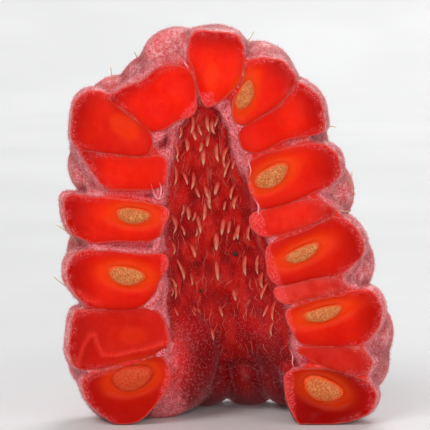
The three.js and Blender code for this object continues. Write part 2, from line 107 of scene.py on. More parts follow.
# Cut faces: how far behind the cut the widest section lies, and a closed smooth outline of [x, z].
CUT_LOBES = {
    "apex": (0.95, [
        [-1.66, 20.5], [-0.52, 20.5], [0.42, 20.3], [0.73, 19.5], [0.62, 18.3], [0.21, 17.6],
        [-1.04, 16.8], [-1.51, 17.8], [-1.77, 18.8], [-2.0, 19.3], [-1.92, 20.0],
    ]),
    "left_6": (0.95, [
        [-6.0, 17.1], [-5.6, 17.5], [-4.3, 18.1], [-3.5, 18.7], [-2.5, 18.75], [-1.92, 18.3],
        [-1.72, 17.3], [-1.87, 16.4], [-2.76, 16.0], [-3.4, 15.6], [-4.06, 15.55], [-4.94, 16.35],
    ]),
    "left_5": (0.9, [
        [-7.8, 16.95], [-7.2, 17.45], [-6.5, 17.4], [-6.1, 17.0], [-5.2, 16.25], [-4.1, 15.4],
        [-4.06, 14.5], [-4.6, 14.2], [-6.1, 14.35], [-7.5, 14.55], [-8.0, 15.0], [-8.0, 16.0],
    ]),
    "left_5_low": (1.2, [
        [-7.5, 14.4], [-6.1, 14.2], [-4.6, 14.05], [-3.5, 14.1], [-3.2, 13.5], [-3.4, 12.7],
        [-4.06, 12.5], [-5.4, 12.5], [-6.25, 12.6], [-6.9, 13.3], [-7.3, 13.9],
    ]),
    "left_4": (0.95, [
        [-8.27, 12.05], [-7.0, 11.95], [-6.1, 11.9], [-4.4, 11.7], [-3.2, 11.35], [-3.4, 10.5],
        [-3.9, 9.85], [-5.7, 9.8], [-6.9, 9.7], [-7.55, 9.9], [-8.15, 10.3], [-8.4, 11.2],
    ]),
    "left_3": (0.95, [
        [-7.2, 9.15], [-6.3, 9.15], [-4.4, 8.95], [-3.4, 8.95], [-3.2, 8.4], [-3.6, 7.7],
        [-3.95, 6.95], [-4.6, 6.3], [-5.5, 6.15], [-6.9, 6.25], [-7.5, 6.6], [-8.2, 7.5], [-8.25, 8.4],
        [-7.9, 8.95],
    ]),
    "left_2": (0.95, [
        [-7.65, 6.0], [-6.1, 6.1], [-4.0, 6.1], [-3.3, 5.3], [-3.2, 4.3], [-3.8, 3.85], [-4.5, 3.6],
        [-5.8, 3.3], [-6.7, 3.05], [-7.8, 3.1], [-8.2, 3.75], [-8.15, 4.85], [-8.0, 5.7],
    ]),
    "left_1": (0.95, [
        [-7.4, 2.5], [-6.7, 2.8], [-5.1, 3.15], [-3.65, 3.6], [-3.1, 2.9], [-3.2, 2.1], [-3.8, 1.2],
        [-4.5, 0.45], [-5.25, 0.16], [-6.0, 0.24], [-6.7, 0.75], [-7.3, 1.4], [-7.5, 2.0],
    ]),
    "right_1": (0.95, [
        [0.95, 18.8], [1.25, 19.1], [2.0, 19.15], [2.75, 19.0], [3.2, 18.5], [3.4, 18.1], [3.15, 17.6],
        [2.55, 16.85], [1.7, 16.3], [0.9, 15.8], [0.42, 16.0], [0.3, 16.75], [0.6, 17.6], [0.83, 18.2],
    ]),
    "right_2": (0.95, [
        [3.6, 17.85], [4.06, 17.65], [4.6, 17.15], [4.85, 16.4], [4.85, 15.5], [3.9, 15.25],
        [3.0, 15.1], [2.2, 14.65], [1.45, 14.35], [0.8, 14.65], [0.62, 15.4], [1.0, 15.75],
        [1.8, 16.15], [2.7, 16.75], [3.3, 17.45],
    ]),
    "right_3": (0.95, [
        [3.1, 14.5], [4.4, 14.75], [5.15, 14.55], [5.6, 14.1], [5.7, 13.3], [5.3, 12.75], [4.6, 12.4],
        [3.5, 11.9], [2.0, 11.45], [1.45, 11.9], [1.15, 12.7], [1.15, 13.6], [1.45, 14.0], [2.2, 14.3],
    ]),
    "right_4": (1.2, [
        [1.2, 10.9], [1.8, 11.3], [3.1, 11.65], [4.5, 11.85], [5.15, 11.55], [5.5, 11.2], [4.9, 10.85],
        [4.4, 10.65], [3.1, 10.2], [2.0, 10.05], [1.4, 10.3],
    ]),
    "right_5": (0.95, [
        [2.2, 9.45], [3.75, 10.1], [4.8, 10.6], [5.7, 10.9], [6.45, 10.5], [6.9, 9.8], [6.95, 9.15],
        [6.45, 8.55], [5.65, 8.0], [4.5, 7.8], [3.2, 7.5], [2.5, 7.55], [2.1, 8.3],
    ]),
    "right_6": (1.2, [
        [2.6, 7.25], [3.85, 7.6], [5.3, 7.8], [5.9, 7.5], [5.95, 7.2], [5.3, 7.0], [4.5, 6.8],
        [3.5, 6.55], [2.95, 6.55], [2.55, 6.85],
    ]),
    "right_7": (0.95, [
        [3.1, 5.95], [3.75, 6.3], [4.8, 6.65], [6.0, 6.85], [6.45, 7.05], [7.2, 7.1], [7.7, 6.75],
        [7.95, 6.0], [7.7, 5.1], [7.0, 4.4], [6.1, 4.25], [5.0, 4.25], [3.9, 4.4], [3.35, 5.1],
    ]),
    "right_8": (1.2, [
        [3.75, 4.05], [4.8, 4.1], [5.8, 4.15], [6.55, 4.05], [7.3, 3.65], [7.45, 3.2], [6.95, 2.7],
        [6.0, 2.85], [5.0, 3.2], [4.15, 3.65],
    ]),
    "right_9": (0.95, [
        [3.1, 2.65], [3.75, 2.9], [4.9, 2.95], [6.1, 2.7], [7.05, 2.35], [7.6, 1.75], [7.6, 1.15],
        [7.2, 0.6], [6.45, 0.3], [5.1, 0.1], [3.9, 0.12], [3.4, 0.8], [3.1, 1.65],
    ]),
}


# Whole drupelets that show between the cut ones: lobe centres [x, y, z].
EDGE_LOBES = [
    [-6.8, 2.2, 13.6], [-4.0, 2.3, 17.7], [-3.1, 1.9, 19.4], [5.05, 2.2, 12.1], [6.15, 2.2, 8.3],
    [7.2, 2.3, 4.6], [3.3, 2.2, 16.5], [-6.9, 2.3, 8.9], [-6.9, 2.3, 3.2], [-4.9, 3.0, 1.75],
]

# Whole drupelets close behind the cut ones, whose frosted skins show beyond the cut faces. They
# take the place of the edge drupelet numbered CREST_FOR.
CREST_FOR = 2
CREST_LOBES = [
    [-2.75, 1.9, 19.15], [-0.6, 1.9, 19.3], [1.8, 1.9, 18.35], [-5.9, 2.0, 16.45], [3.65, 2.2, 14.7],
    [7.0, 2.3, 3.1], [-6.05, 1.95, 1.7], [5.8, 1.95, 1.7],
]

# Drupelets of the base that bulge into the hollow's foot: centre, half sizes across, back and
# along, and the lean of their long side to the right in degrees.
FOOT_LOBES = [([-3.55, 2.85, 3.2], [3.0, 2.8, 3.3], 0), ([3.1, 3.4, 3.85], [1.7, 1.9, 3.2], -45)]

# Seeds bared by the cut: centre [x, z], half length and half thickness, tilt in degrees.
SEEDS = [
    ([-4.9, 11.1], [1.1, 0.52], -5), ([-5.25, 7.95], [1.18, 0.6], -8), ([-5.0, 2.55], [1.32, 0.78], 14),
    ([0.85, 17.35], [1.0, 0.5], 68), ([2.26, 13.15], [1.2, 0.62], 31), ([3.87, 9.13], [1.2, 0.46], 26),
    ([4.97, 5.95], [1.27, 0.46], 15), ([5.0, 1.95], [1.28, 0.72], -20),
]
SEED_HALF_DEPTH = 0.46
SEED_CENTRE_Y = 0.07

# Grid of the skin's implicit surface.
CELL = 0.125
GRID_LOW = np.array([-9.3, -0.4, -0.3])
GRID_HIGH = np.array([9.6, 9.4, 21.6])
BLEND = 0.16
LOBE_MARGIN = 4.4
OUTLINE_MARGIN = 1.2
BACK_MARGIN = 0.6
CUT_RIM = 0.07

# Between cut drupelets a thin web closes the gap, WEB_FRONT before the cut plane. Away from them
# the flesh lies back by RECESS. Further than BED_EDGE inside an outline the skin is sunk to BED_Y,
# where the pulp fills it.
WEB_REACH = 0.8
WEB_FRONT = 0.14
RECESS = 0.8
BED_EDGE = 0.14
BED_Y = 0.12
WEB_BACK = 0.4
WEB_BLEND = 0.06

# Round the hollow's mouth a lumpy collar stands a little proud of the cut plane, and pads of down
# lie between the cut drupelets. Zones are the corners of the boxes that hold them.
COLLAR_REACH = 0.9
COLLAR_PROUD = 0.16
COLLAR_LUMPS = 0.09
COLLAR_ZONE = ((-9, -0.4, 1.5), (9, 0.7, 18))
PAD_SUNK = 0.05
PAD_LUMPS = 0.13
PAD_BLEND = 0.1
PAD_ZONE = ((-9, -0.4, 0), (9, 0.6, 21))
WALL_REACH = 1.2


# Shapes in the fruit's own frame

def axis_x(z):
    return AXIS_AT_FLOOR + AXIS_SLOPE * np.minimum(z, AXIS_BEND_Z)


def dome_radius(z, depth):
    radius = DOME_RADIUS - depth
    if z < DOME_WIDEST_Z:
        return radius - BASE_TUCK * (DOME_WIDEST_Z - z) ** 2
    share = (z - DOME_WIDEST_Z) / (DOME_TOP - depth - DOME_WIDEST_Z)
    return radius * max(0.0, 1 - share ** DOME_POWER) ** (1 / DOME_POWER)


def core_point(z):
    height = min(max(z * ROOT_SHARE + ROOT_RISE, ROOT_LOWEST), ROOT_HIGHEST)
    return np.array([axis_x(height), 0.0, height])


def onto_dome(p, depth):
    """The point of the lowered dome straight out from the core through p."""
    core = core_point(p[2])
    way = (p - core) / np.linalg.norm(p - core)
    inside, outside = 0.0, 2 * DOME_TOP
    for _ in range(HALVINGS):
        middle = (inside + outside) / 2
        x, y, z = core + way * middle
        if z < DOME_TOP - depth and math.hypot(x - axis_x(z), y) < dome_radius(z, depth):
            inside = middle
        else:
            outside = middle
    return core + way * inside


def cut_lobe_centre(deep, outline):
    centre = np.mean(outline, axis=0)
    return onto_dome(np.array([centre[0], deep, centre[1]]), LOBE_OUT)


def spread_lobes():
    """Whole drupelets, spread evenly behind the cut ones by pushing each other apart."""
    fixed = [cut_lobe_centre(*lobe) for lobe in CUT_LOBES.values()]
    fixed += [np.array(p) for p in EDGE_LOBES]
    free = []
    for i in range(FREE_LOBES):
        angle = math.pi * (FAN_START + FAN_SPAN * ((i * GOLDEN_SHARE) % 1))
        z = LOWEST_CENTRE + START_RISE * (1 - ((i + 0.5) / FREE_LOBES) ** START_CROWDING)
        start = np.array([axis_x(z) + START_RADIUS * math.cos(angle), START_RADIUS * math.sin(angle), z])
        free.append(onto_dome(start, LOBE_OUT))
    points = np.array(free + fixed)
    for _ in range(PUSH_STEPS):
        for i in range(FREE_LOBES):
            away = points[i] - points
            distance = np.linalg.norm(away, axis=1)
            near = distance < PUSH_REACH
            near[i] = False
            push = PUSH_SHARE * (PUSH_REACH - distance[near]) / np.maximum(distance[near], LEAST_APART)
            p = points[i] + (away[near] * push[:, None]).sum(axis=0)
            p[1] = max(p[1], NEAREST_Y)
            p[2] = max(p[2], LOWEST_CENTRE)
            p = onto_dome(p, LOBE_OUT)
            p[2] = max(p[2], LOWEST_CENTRE)
            points[i] = p
    edge = np.delete(np.array(EDGE_LOBES), CREST_FOR, axis=0)
    return np.vstack([edge, np.array(CREST_LOBES), points[:FREE_LOBES]])


def smooth_outline(outline, count):
    """Evenly spaced points, anticlockwise, on the closed smooth curve through an outline."""
    points = np.array(outline, dtype=float)
    following = np.roll(points, -1, axis=0)
    if np.sum(points[:, 0] * following[:, 1] - following[:, 0] * points[:, 1]) < 0:
        points = points[::-1]
    dense = []
    n = len(points)
    for i in range(n):
        a, b, c, d = (points[(i + k) % n] for k in (-1, 0, 1, 2))
        for t in np.linspace(0, 1, 12, endpoint=False):
            dense.append(0.5 * (2 * b + (c - a) * t + (2 * a - 5 * b + 4 * c - d) * t ** 2
                                + (3 * b - a - 3 * c + d) * t ** 3))
    dense = np.array(dense + [dense[0]])
    length = np.concatenate([[0], np.cumsum(np.linalg.norm(np.diff(dense, axis=0), axis=1))])
    even = np.linspace(0, length[-1], count, endpoint=False)
    return np.column_stack([np.interp(even, length, dense[:, k]) for k in (0, 1)])


def outline_distance(x, z, polygon):
    """Signed distance to a closed polygon, negative inside."""
    nearest = np.full(x.shape, 1e9)
    inside = np.zeros(x.shape, dtype=bool)
    for (ax, az), (bx, bz) in zip(polygon, np.roll(polygon, -1, axis=0)):
        ex, ez = bx - ax, bz - az
        px, pz = x - ax, z - az
        t = np.clip((px * ex + pz * ez) / (ex * ex + ez * ez), 0, 1)
        nearest = np.minimum(nearest, (px - t * ex) ** 2 + (pz - t * ez) ** 2)
        crosses = (az > z) != (bz > z)
        if ez != 0:
            inside ^= crosses & (px < pz * ex / ez)
    return np.where(inside, -1, 1) * np.sqrt(nearest)


def smooth_min(a, b, blend):
    h = np.maximum(blend - np.abs(a - b), 0) / blend
    return np.minimum(a, b) - h * h * blend / 4


def lattice_noise(points, size, seed):
    """Smooth value noise between -1 and 1 at points, with lumps of a size in millimetres."""
    q = points / np.array(size)
    base = np.floor(q).astype(np.int64)
    t = q - base
    t = t * t * (3 - 2 * t)
    total = np.zeros(points.shape[:-1])
    for bits in np.ndindex(2, 2, 2):
        c = base + np.array(bits)
        h = (c[..., 0] * 73856093) ^ (c[..., 1] * 19349663) ^ (c[..., 2] * 83492791) ^ (seed * 2654435)
        h = (h ^ (h >> 13)) * 1274126177 & 0x7FFFFFFF
        value = ((h ^ (h >> 16)) & 0xFFFF) / 32767.5 - 1
        weight = np.prod(np.where(bits, t, 1 - t), axis=-1)
        total += value * weight
    return total


def whole_lobe_field(points, centre):
    """Rough distance to one whole drupelet, an egg with its blunt end outward."""
    way = centre - core_point(centre[2])
    way /= np.linalg.norm(way)
    inward = LOBE_IN_BASE if centre[2] < BASE_TOP else LOBE_IN
    d = points - centre
    along = d @ way
    aside = np.linalg.norm(d - along[..., None] * way, axis=-1)
    u = along / np.where(along > 0, LOBE_OUT, inward)
    width = LOBE_HALF_WIDTH * (1 - LOBE_TAPER * np.clip(-u, 0, 1.4))
    return (np.sqrt(u * u + (aside / width) ** 2) - 1) * LOBE_OUT


def cut_lobe_field(points, deep, outline):
    """Rough distance to one cut drupelet: its outline, widest a little behind the cut."""
    polygon = smooth_outline(outline, OUTLINE_POINTS)
    centre = np.mean(outline, axis=0)
    core = core_point(centre[1])
    anchor = centre + (core[[0, 2]] - centre) * CORE_LEAN
    y = points[..., 1]
    share = np.clip((y - deep) / CUT_BACK, -1, CUT_CLOSES)
    scale = np.sqrt(1 - share ** 2) / math.sqrt(1 - (deep / CUT_BACK) ** 2)
    x = anchor[0] + (points[..., 0] - anchor[0]) / scale
    z = anchor[1] + (points[..., 2] - anchor[1]) / scale
    field = scale * outline_distance(x, z, polygon)
    field = np.maximum(field, y - deep - CUT_ENDS * CUT_BACK)
    return np.maximum(field, -CUT_RIM - y)


def core_centre(z):
    return np.interp(z, CORE[:, 0], CORE[:, 1])


def core_radius(z):
    return np.interp(z, CORE[:, 0], CORE[:, 2])


def core_field(points):
    """Depth inside the hollow, positive where it is empty."""
    x, y, z = points[..., 0], points[..., 1], points[..., 2]
    depth = core_radius(z) - np.hypot(x - core_centre(z), y)
    return np.minimum(depth, CORE[-1, 0] + CORE_CLOSES - z)


def flesh_field(points):
    x, y, z = points[..., 0], points[..., 1], points[..., 2]
    radius = DOME_RADIUS - FLESH_DEPTH
    height = DOME_TOP - FLESH_DEPTH - DOME_WIDEST_Z
    across = np.hypot(x - axis_x(z), y) / radius
    up = np.maximum(z - DOME_WIDEST_Z, 0) / height
    dome = ((across ** DOME_POWER + up ** DOME_POWER) ** (1 / DOME_POWER) - 1) * radius
    centre = np.interp(z, FLARE[:, 0], FLARE[:, 1])
    flare = np.interp(z, FLARE[:, 0], FLARE[:, 2]) - np.hypot(x - centre, y)
    return np.maximum.reduce([dome, FLESH_BOTTOM - z, np.minimum(flare, FLARE[1, 0] - z)])


def foot_lobe_field(points, at, half, lean):
    """Rough distance to one drupelet of the base, an upright or leaning egg."""
    angle = math.radians(lean)
    d = points - np.array(at)
    across = d[..., 0] * math.cos(angle) - d[..., 2] * math.sin(angle)
    along = d[..., 0] * math.sin(angle) + d[..., 2] * math.cos(angle)
    reach = np.sqrt((across / half[0]) ** 2 + (d[..., 1] / half[1]) ** 2 + (along / half[2]) ** 2)
    return (reach - 1) * min(half)


def cut_distances(x, z):
    """Distances across the cut plane to the two nearest cut faces, negative over a face."""
    first = np.full(x.shape, 9.0)
    second = first.copy()
    for _, outline in CUT_LOBES.values():
        low, high = np.min(outline, axis=0) - 1.5, np.max(outline, axis=0) + 1.5
        by = (x > low[0]) & (x < high[0]) & (z > low[1]) & (z < high[1])
        value = np.full(x.shape, 9.0)
        value[by] = outline_distance(x[by], z[by], smooth_outline(outline, OUTLINE_POINTS))
        second = np.minimum(np.maximum(first, value), second)
        first = np.minimum(first, value)
    return first, second


# The skin: one surface over all drupelets, from a grid of distances

def grid_points():
    axes = [np.arange(low, high, CELL) for low, high in zip(GRID_LOW, GRID_HIGH)]
    return axes, np.stack(np.meshgrid(*axes, indexing="ij"), axis=-1)


def block(axes, low, high):
    return tuple(slice(*np.searchsorted(axis, (a, b))) for axis, a, b in zip(axes, low, high))


def skin_fields(whole):
    """Grids of the fruit's distance and of the distance to its two nearest drupelets."""
    axes, points = grid_points()
    first = np.full(points.shape[:3], 3.0)
    second = first.copy()
    field = flesh_field(points)

    def add(part, value, blend=BLEND):
        field[part] = smooth_min(field[part], value, blend)
        a, b = first[part], second[part]
        second[part] = np.minimum(np.maximum(a, value), b)
        first[part] = np.minimum(a, value)

    for centre in whole:
        part = block(axes, centre - LOBE_MARGIN, centre + LOBE_MARGIN)
        add(part, whole_lobe_field(points[part], centre))
    y = points[..., 1]
    hollow = core_field(points)
    collar = np.clip(1 + hollow / COLLAR_REACH, 0, 1) ** 2
    near_cut, next_cut = cut_distances(points[:, 0, :, 0], points[:, 0, :, 2])
    recess = RECESS * ramp(near_cut, 0.12, 0.7)[:, None, :]
    field = np.maximum(field, recess * (1 - collar) - y - COLLAR_PROUD * collar)
    for deep, outline in CUT_LOBES.values():
        x, z = np.array(outline).T
        low = (x.min() - OUTLINE_MARGIN, -9, z.min() - OUTLINE_MARGIN)
        high = (x.max() + OUTLINE_MARGIN, deep + CUT_BACK + BACK_MARGIN, z.max() + OUTLINE_MARGIN)
        part = block(axes, low, high)
        add(part, cut_lobe_field(points[part], deep, outline))
    pads = block(axes, *PAD_ZONE)
    thick = pad_field(points[pads])
    thick += PAD_SUNK + PAD_LUMPS * lattice_noise(points[pads], (0.3, 0.3, 0.22), 9)
    field[pads] = smooth_min(field[pads], thick, PAD_BLEND)
    web = smooth_min(near_cut, next_cut, WEB_REACH)[:, None, :]
    slab = np.maximum.reduce([web + 0 * y, -WEB_FRONT - y, y - WEB_BACK])
    field = smooth_min(field, slab, WEB_BLEND)
    field = np.maximum(field, -np.maximum(near_cut[:, None, :] + BED_EDGE, y - BED_Y))
    near = np.abs(hollow) < WALL_REACH
    hollow[near] += wall_relief(points[near])
    front = block(axes, *COLLAR_ZONE)
    field[front] += COLLAR_LUMPS * lattice_noise(points[front], 0.35, 17) * collar[front]
    field = -smooth_min(-field, -hollow, 0.15 + 0.35 * ramp(y, 1.2, 0.2))
    for at, half, lean in FOOT_LOBES:
        reach = max(half) + BACK_MARGIN
        part = block(axes, np.array(at) - reach, np.array(at) + reach)
        soft = 0.25 + 0.6 * ramp(points[part][..., 1], 0.6, 1.8)
        add(part, foot_lobe_field(points[part], at, half, lean), soft)
    field = np.maximum(field, -points[..., 2])
    return field, first, second


def wall_relief(points):
    """How deep the hollow's wall is eaten out, in upright fibres and soft lumps."""
    fibres = lattice_noise(points, (0.26, 0.26, 0.7), 3) * 0.12
    lumps = lattice_noise(points, (0.6, 0.6, 0.9), 5) * 0.14
    return fibres + lumps


def ramp(value, low, high):
    t = np.clip((value - low) / (high - low), 0, 1)
    return t * t * (3 - 2 * t)


def surface_nets(field):
    """Closed quads over field = 0, one vertex in each cell that the surface crosses."""
    inside = field < 0
    shape = np.array(field.shape) - 1
    corner = {}
    counts = np.zeros(shape, dtype=np.int8)
    for bits in np.ndindex(2, 2, 2):
        part = tuple(slice(b, b + n) for b, n in zip(bits, shape))
        corner[bits] = part
        counts += inside[part]
    active = (counts > 0) & (counts < 8)
    cells = np.argwhere(active)
    number = np.full(shape, -1, dtype=np.int64)
    number[active] = np.arange(len(cells))
    values = {bits: field[part][active] for bits, part in corner.items()}
    total = np.zeros((len(cells), 3))
    hits = np.zeros(len(cells))
    for axis in range(3):
        for bits in np.ndindex(2, 2, 2):
            if bits[axis]:
                continue
            end = tuple(b + (k == axis) for k, b in enumerate(bits))
            a, b = values[bits], values[end]
            crosses = (a < 0) != (b < 0)
            t = np.where(crosses, a / np.where(crosses, a - b, 1), 0)
            where = np.array(bits, dtype=float)[None, :].repeat(len(cells), axis=0)
            where[:, axis] += t
            total += where * crosses[:, None]
            hits += crosses
    vertices = GRID_LOW + (cells + total / hits[:, None]) * CELL
    quads = []
    for axis in range(3):
        start = [slice(None)] * 3
        stop = [slice(None)] * 3
        start[axis], stop[axis] = slice(0, -1), slice(1, None)
        a, b = inside[tuple(start)], inside[tuple(stop)]
        edges = np.argwhere(a != b)
        outward = a[a != b]
        u, v = (axis + 1) % 3, (axis + 2) % 3
        keep = (edges[:, u] > 0) & (edges[:, v] > 0) & (edges[:, u] < shape[u]) & (edges[:, v] < shape[v])
        edges, outward = edges[keep], outward[keep]
        ring = []
        for du, dv in ((-1, -1), (0, -1), (0, 0), (-1, 0)):
            cell = edges.copy()
            cell[:, u] += du
            cell[:, v] += dv
            ring.append(number[tuple(cell.T)])
        ring = np.column_stack(ring)
        ring[~outward] = ring[~outward][:, ::-1]
        quads.append(ring)
    return vertices, np.vstack(quads)


def largest_body(vertices, quads):
    """The mesh without specks that hang loose beside its main body."""
    label = np.arange(len(vertices))
    settled = False
    while not settled:
        lowest = label[quads].min(axis=1)
        spread = label.copy()
        np.minimum.at(spread, quads, lowest[:, None])
        spread = spread[spread]
        settled = np.array_equal(spread, label)
        label = spread
    kept = label == np.bincount(label).argmax()
    renumbered = np.cumsum(kept) - 1
    return vertices[kept], renumbered[quads[kept[quads[:, 0]]]]


def sample(grid, points):
    """Values of a grid at points, blended between its eight nearest corners."""
    q = np.clip((points - GRID_LOW) / CELL, 0, np.array(grid.shape) - 1.001)
    base = q.astype(int)
    t = q - base
    total = np.zeros(len(points))
    for bits in np.ndindex(2, 2, 2):
        weight = np.prod(np.where(bits, t, 1 - t), axis=1)
        total += weight * grid[tuple((base + bits).T)]
    return total


# Blender objects

def ring_quads(first, count, rings):
    """Faces that join rings of count points, the first of all points being numbered first."""
    quads = []
    for start in range(first, first + (rings - 1) * count, count):
        for i in range(count):
            j = (i + 1) % count
            quads.append((start + i, start + j, start + count + j, start + count + i))
    return quads


def piece(name, vertices, faces, material, attributes, solid="fruit"):
    """A mesh object from millimetre points of the fruit's frame, in place of a solid."""
    mesh = bpy.data.meshes.new(name)
    places = (np.asarray(vertices) + ROW_SHIFT) * MM
    mesh.vertices.add(len(places))
    mesh.vertices.foreach_set("co", places.astype(np.float32).ravel())
    sizes = [len(face) for face in faces]
    corners = np.concatenate([np.asarray(face) for face in faces])
    mesh.loops.add(len(corners))
    mesh.loops.foreach_set("vertex_index", corners.astype(np.int32))
    mesh.polygons.add(len(sizes))
    mesh.polygons.foreach_set("loop_start", np.cumsum([0] + sizes[:-1]).astype(np.int32))
    mesh.update(calc_edges=True)
    mesh.validate()
    mesh.shade_smooth()
    for key, values in attributes.items():
        layer = mesh.attributes.new(key, "FLOAT", "POINT")
        layer.data.foreach_set("value", np.asarray(values, dtype=np.float32))
    thing = bpy.data.objects.new(name, mesh)
    bpy.context.collection.objects.link(thing)
    mesh.materials.append(material)
    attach(thing, "root")
    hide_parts(solid)


# Materials, all from nodes. Sizes in them are millimetres.

def srgb(r, g, b):
    """A linear colour from 0 to 255 display values."""
    return tuple(c / 12.92 if c <= 0.04045 else ((c + 0.055) / 1.055) ** 2.4
                 for c in (r / 255, g / 255, b / 255))


class Nodes:
    """A material's node tree, with short calls to add and join nodes."""

    def __init__(self, name):
        self.material = bpy.data.materials.new(name)
        self.material.use_nodes = True
        self.tree = self.material.node_tree
        self.shader = self.tree.nodes["Principled BSDF"]
        self.object_place = self.add("TexCoord").outputs["Object"]

    def add(self, kind, settings=None, **sockets):
        node = self.tree.nodes.new("ShaderNode" + kind)
        for key, value in (settings or {}).items():
            setattr(node, key, value)
        self.fill(node, sockets)
        return node

    def fill(self, node, sockets):
        """Sets or joins sockets by name, where _ stands for a space."""
        for key, value in sockets.items():
            self.put(node.inputs[key.replace("_", " ")], value)

    def put(self, socket, value):
        if isinstance(value, bpy.types.NodeSocket):
            self.tree.links.new(value, socket)
        elif isinstance(value, tuple) and len(value) == 3 and socket.type == "RGBA":
            socket.default_value = (*value, 1)
        else:
            socket.default_value = value

    def shade(self, **sockets):
        self.fill(self.shader, sockets)
        return self.material

    def masks(self, names):
        """The piece's point attributes of these names."""
        return [self.add("Attribute", {"attribute_name": name}).outputs["Fac"] for name in names.split()]

    def stretched(self, scale):
        return self.add("Mapping", Vector=self.object_place, Scale=scale).outputs["Vector"]

    def noise(self, size, detail=3.0, rough=0.55, place=None):
        node = self.add("TexNoise", Vector=place or self.object_place, Scale=1 / (size * MM),
                        Detail=detail, Roughness=rough)
        return node.outputs["Fac"]

    def cells(self, size, randomness=1.0):
        node = self.add("TexVoronoi", Vector=self.object_place, Scale=1 / (size * MM),
                        Randomness=randomness)
        return node.outputs["Distance"]

    def band(self, value, low, high, out_low=0.0, out_high=1.0):
        node = self.add("MapRange", {"interpolation_type": "SMOOTHSTEP"}, Value=value, From_Min=low,
                        From_Max=high, To_Min=out_low, To_Max=out_high)
        return node.outputs["Result"]

    def math(self, operation, a, b):
        node = self.add("Math", {"operation": operation, "use_clamp": True})
        self.put(node.inputs[0], a)
        self.put(node.inputs[1], b)
        return node.outputs["Value"]

    def times(self, a, b):
        return self.math("MULTIPLY", a, b)

    def plus(self, a, b):
        return self.math("ADD", a, b)

    def mix(self, factor, a, b):
        node = self.add("Mix", {"data_type": "RGBA"}, Factor=factor)
        self.put(node.inputs[6], a)
        self.put(node.inputs[7], b)
        return node.outputs[2]

    def over(self, below, display, *factors):
        """A display colour laid over another colour, as strongly as the product of the factors."""
        strength = factors[0]
        for factor in factors[1:]:
            strength = self.times(strength, factor)
        return self.mix(strength, below, srgb(*display))

    def relief(self, *layers):
        """Bumps on top of each other, each a height and its depth."""
        normal = None
        for height, depth in layers:
            node = self.add("Bump", Height=height, Distance=depth * MM, Strength=1.0)
            if normal:
                self.put(node.inputs["Normal"], normal)
            normal = node.outputs["Normal"]
        return normal


def skin_finish():
    n = Nodes("skin")
    felt, crease, hollow, lobe, band = n.masks("felt crease hollow lobe band")
    ridge, low, web, seam, inner = n.masks("ridge low web seam inner")
    broad = n.band(n.noise(1.6, 2.0), 0.35, 0.65)
    colour = n.over(srgb(186, 10, 16), (222, 26, 24), broad)
    colour = n.over(colour, (156, 5, 18), lobe, 0.35)
    dot = n.band(n.cells(0.13, 0.9), 0.42, 0.16)
    tuft = n.noise(0.09, 4.0, 0.7)
    # Beside the cut the skin gets pale down with painted rim light of backlit hairs, and its pale dots
    # are brighter there as painted highlights.
    bloom_and_rim_light = n.band(n.noise(0.32, 4.0, 0.65), 0.38, 0.62, 0.35, 1.0)
    grit = n.band(tuft, 0.42, 0.58, 0.35, 1.0)
    colour = n.over(colour, (242, 178, 180), band, bloom_and_rim_light, grit)
    colour = n.over(colour, (244, 148, 152), dot, n.plus(n.times(band, 0.3), 0.3))
    # Painted shade: the creases between drupelets are darkened.
    colour = n.over(colour, (132, 2, 12), crease, 0.5)
    # Painted shade on the insides of the lowest drupelets, seen through the hollow's foot.
    colour = n.over(colour, (104, 2, 5), inner, 0.75)
    fibre = n.noise(0.13, 4.0, 0.65, n.stretched((1.0, 1.0, 0.4)))
    # Painted shade: the hollow's wall is darker down in its eaten-out grooves than on the ridges.
    wall = n.over(srgb(160, 4, 2), (222, 18, 8), ridge)
    wall = n.over(wall, (232, 72, 56), n.band(ridge, 0.35, 0.9), n.band(fibre, 0.42, 0.62), 0.4)
    wall = n.over(wall, (206, 10, 5), n.band(n.noise(0.7, 2.0), 0.48, 0.64), 0.6)
    # Painted shade: the hollow grows darker towards its bottom.
    wall = n.over(wall, (140, 3, 5), low, 0.4)
    colour = n.mix(hollow, colour, wall)
    veil = n.band(n.noise(0.5, 3.0), 0.42, 0.62)
    gel = n.over(srgb(222, 15, 4), (238, 26, 6), broad)
    gel = n.over(gel, (246, 120, 110), seam, n.plus(n.times(veil, 0.6), 0.1))
    colour = n.mix(web, colour, gel)
    pale = n.over(srgb(230, 34, 42), (254, 168, 174), n.band(tuft, 0.36, 0.64))
    downy = n.band(n.plus(n.times(felt, 0.75), n.times(n.noise(0.35, 3.0), 0.4)), 0.46, 0.8)
    return n.shade(
        Base_Color=n.mix(n.times(downy, 0.9), colour, pale),
        Roughness=n.band(downy, 0.0, 1.0, 0.4, 0.8),
        IOR=1.4, Specular_IOR_Level=0.25,
        Subsurface_Weight=0.5, Subsurface_Radius=(1.0, 0.2, 0.15), Subsurface_Scale=0.5 * MM,
        Sheen_Weight=0.14, Sheen_Roughness=0.3, Sheen_Tint=(1.0, 0.62, 0.72),
        Normal=n.relief((dot, 0.02), (n.times(tuft, downy), 0.07), (n.times(fibre, hollow), 0.09)),
    )


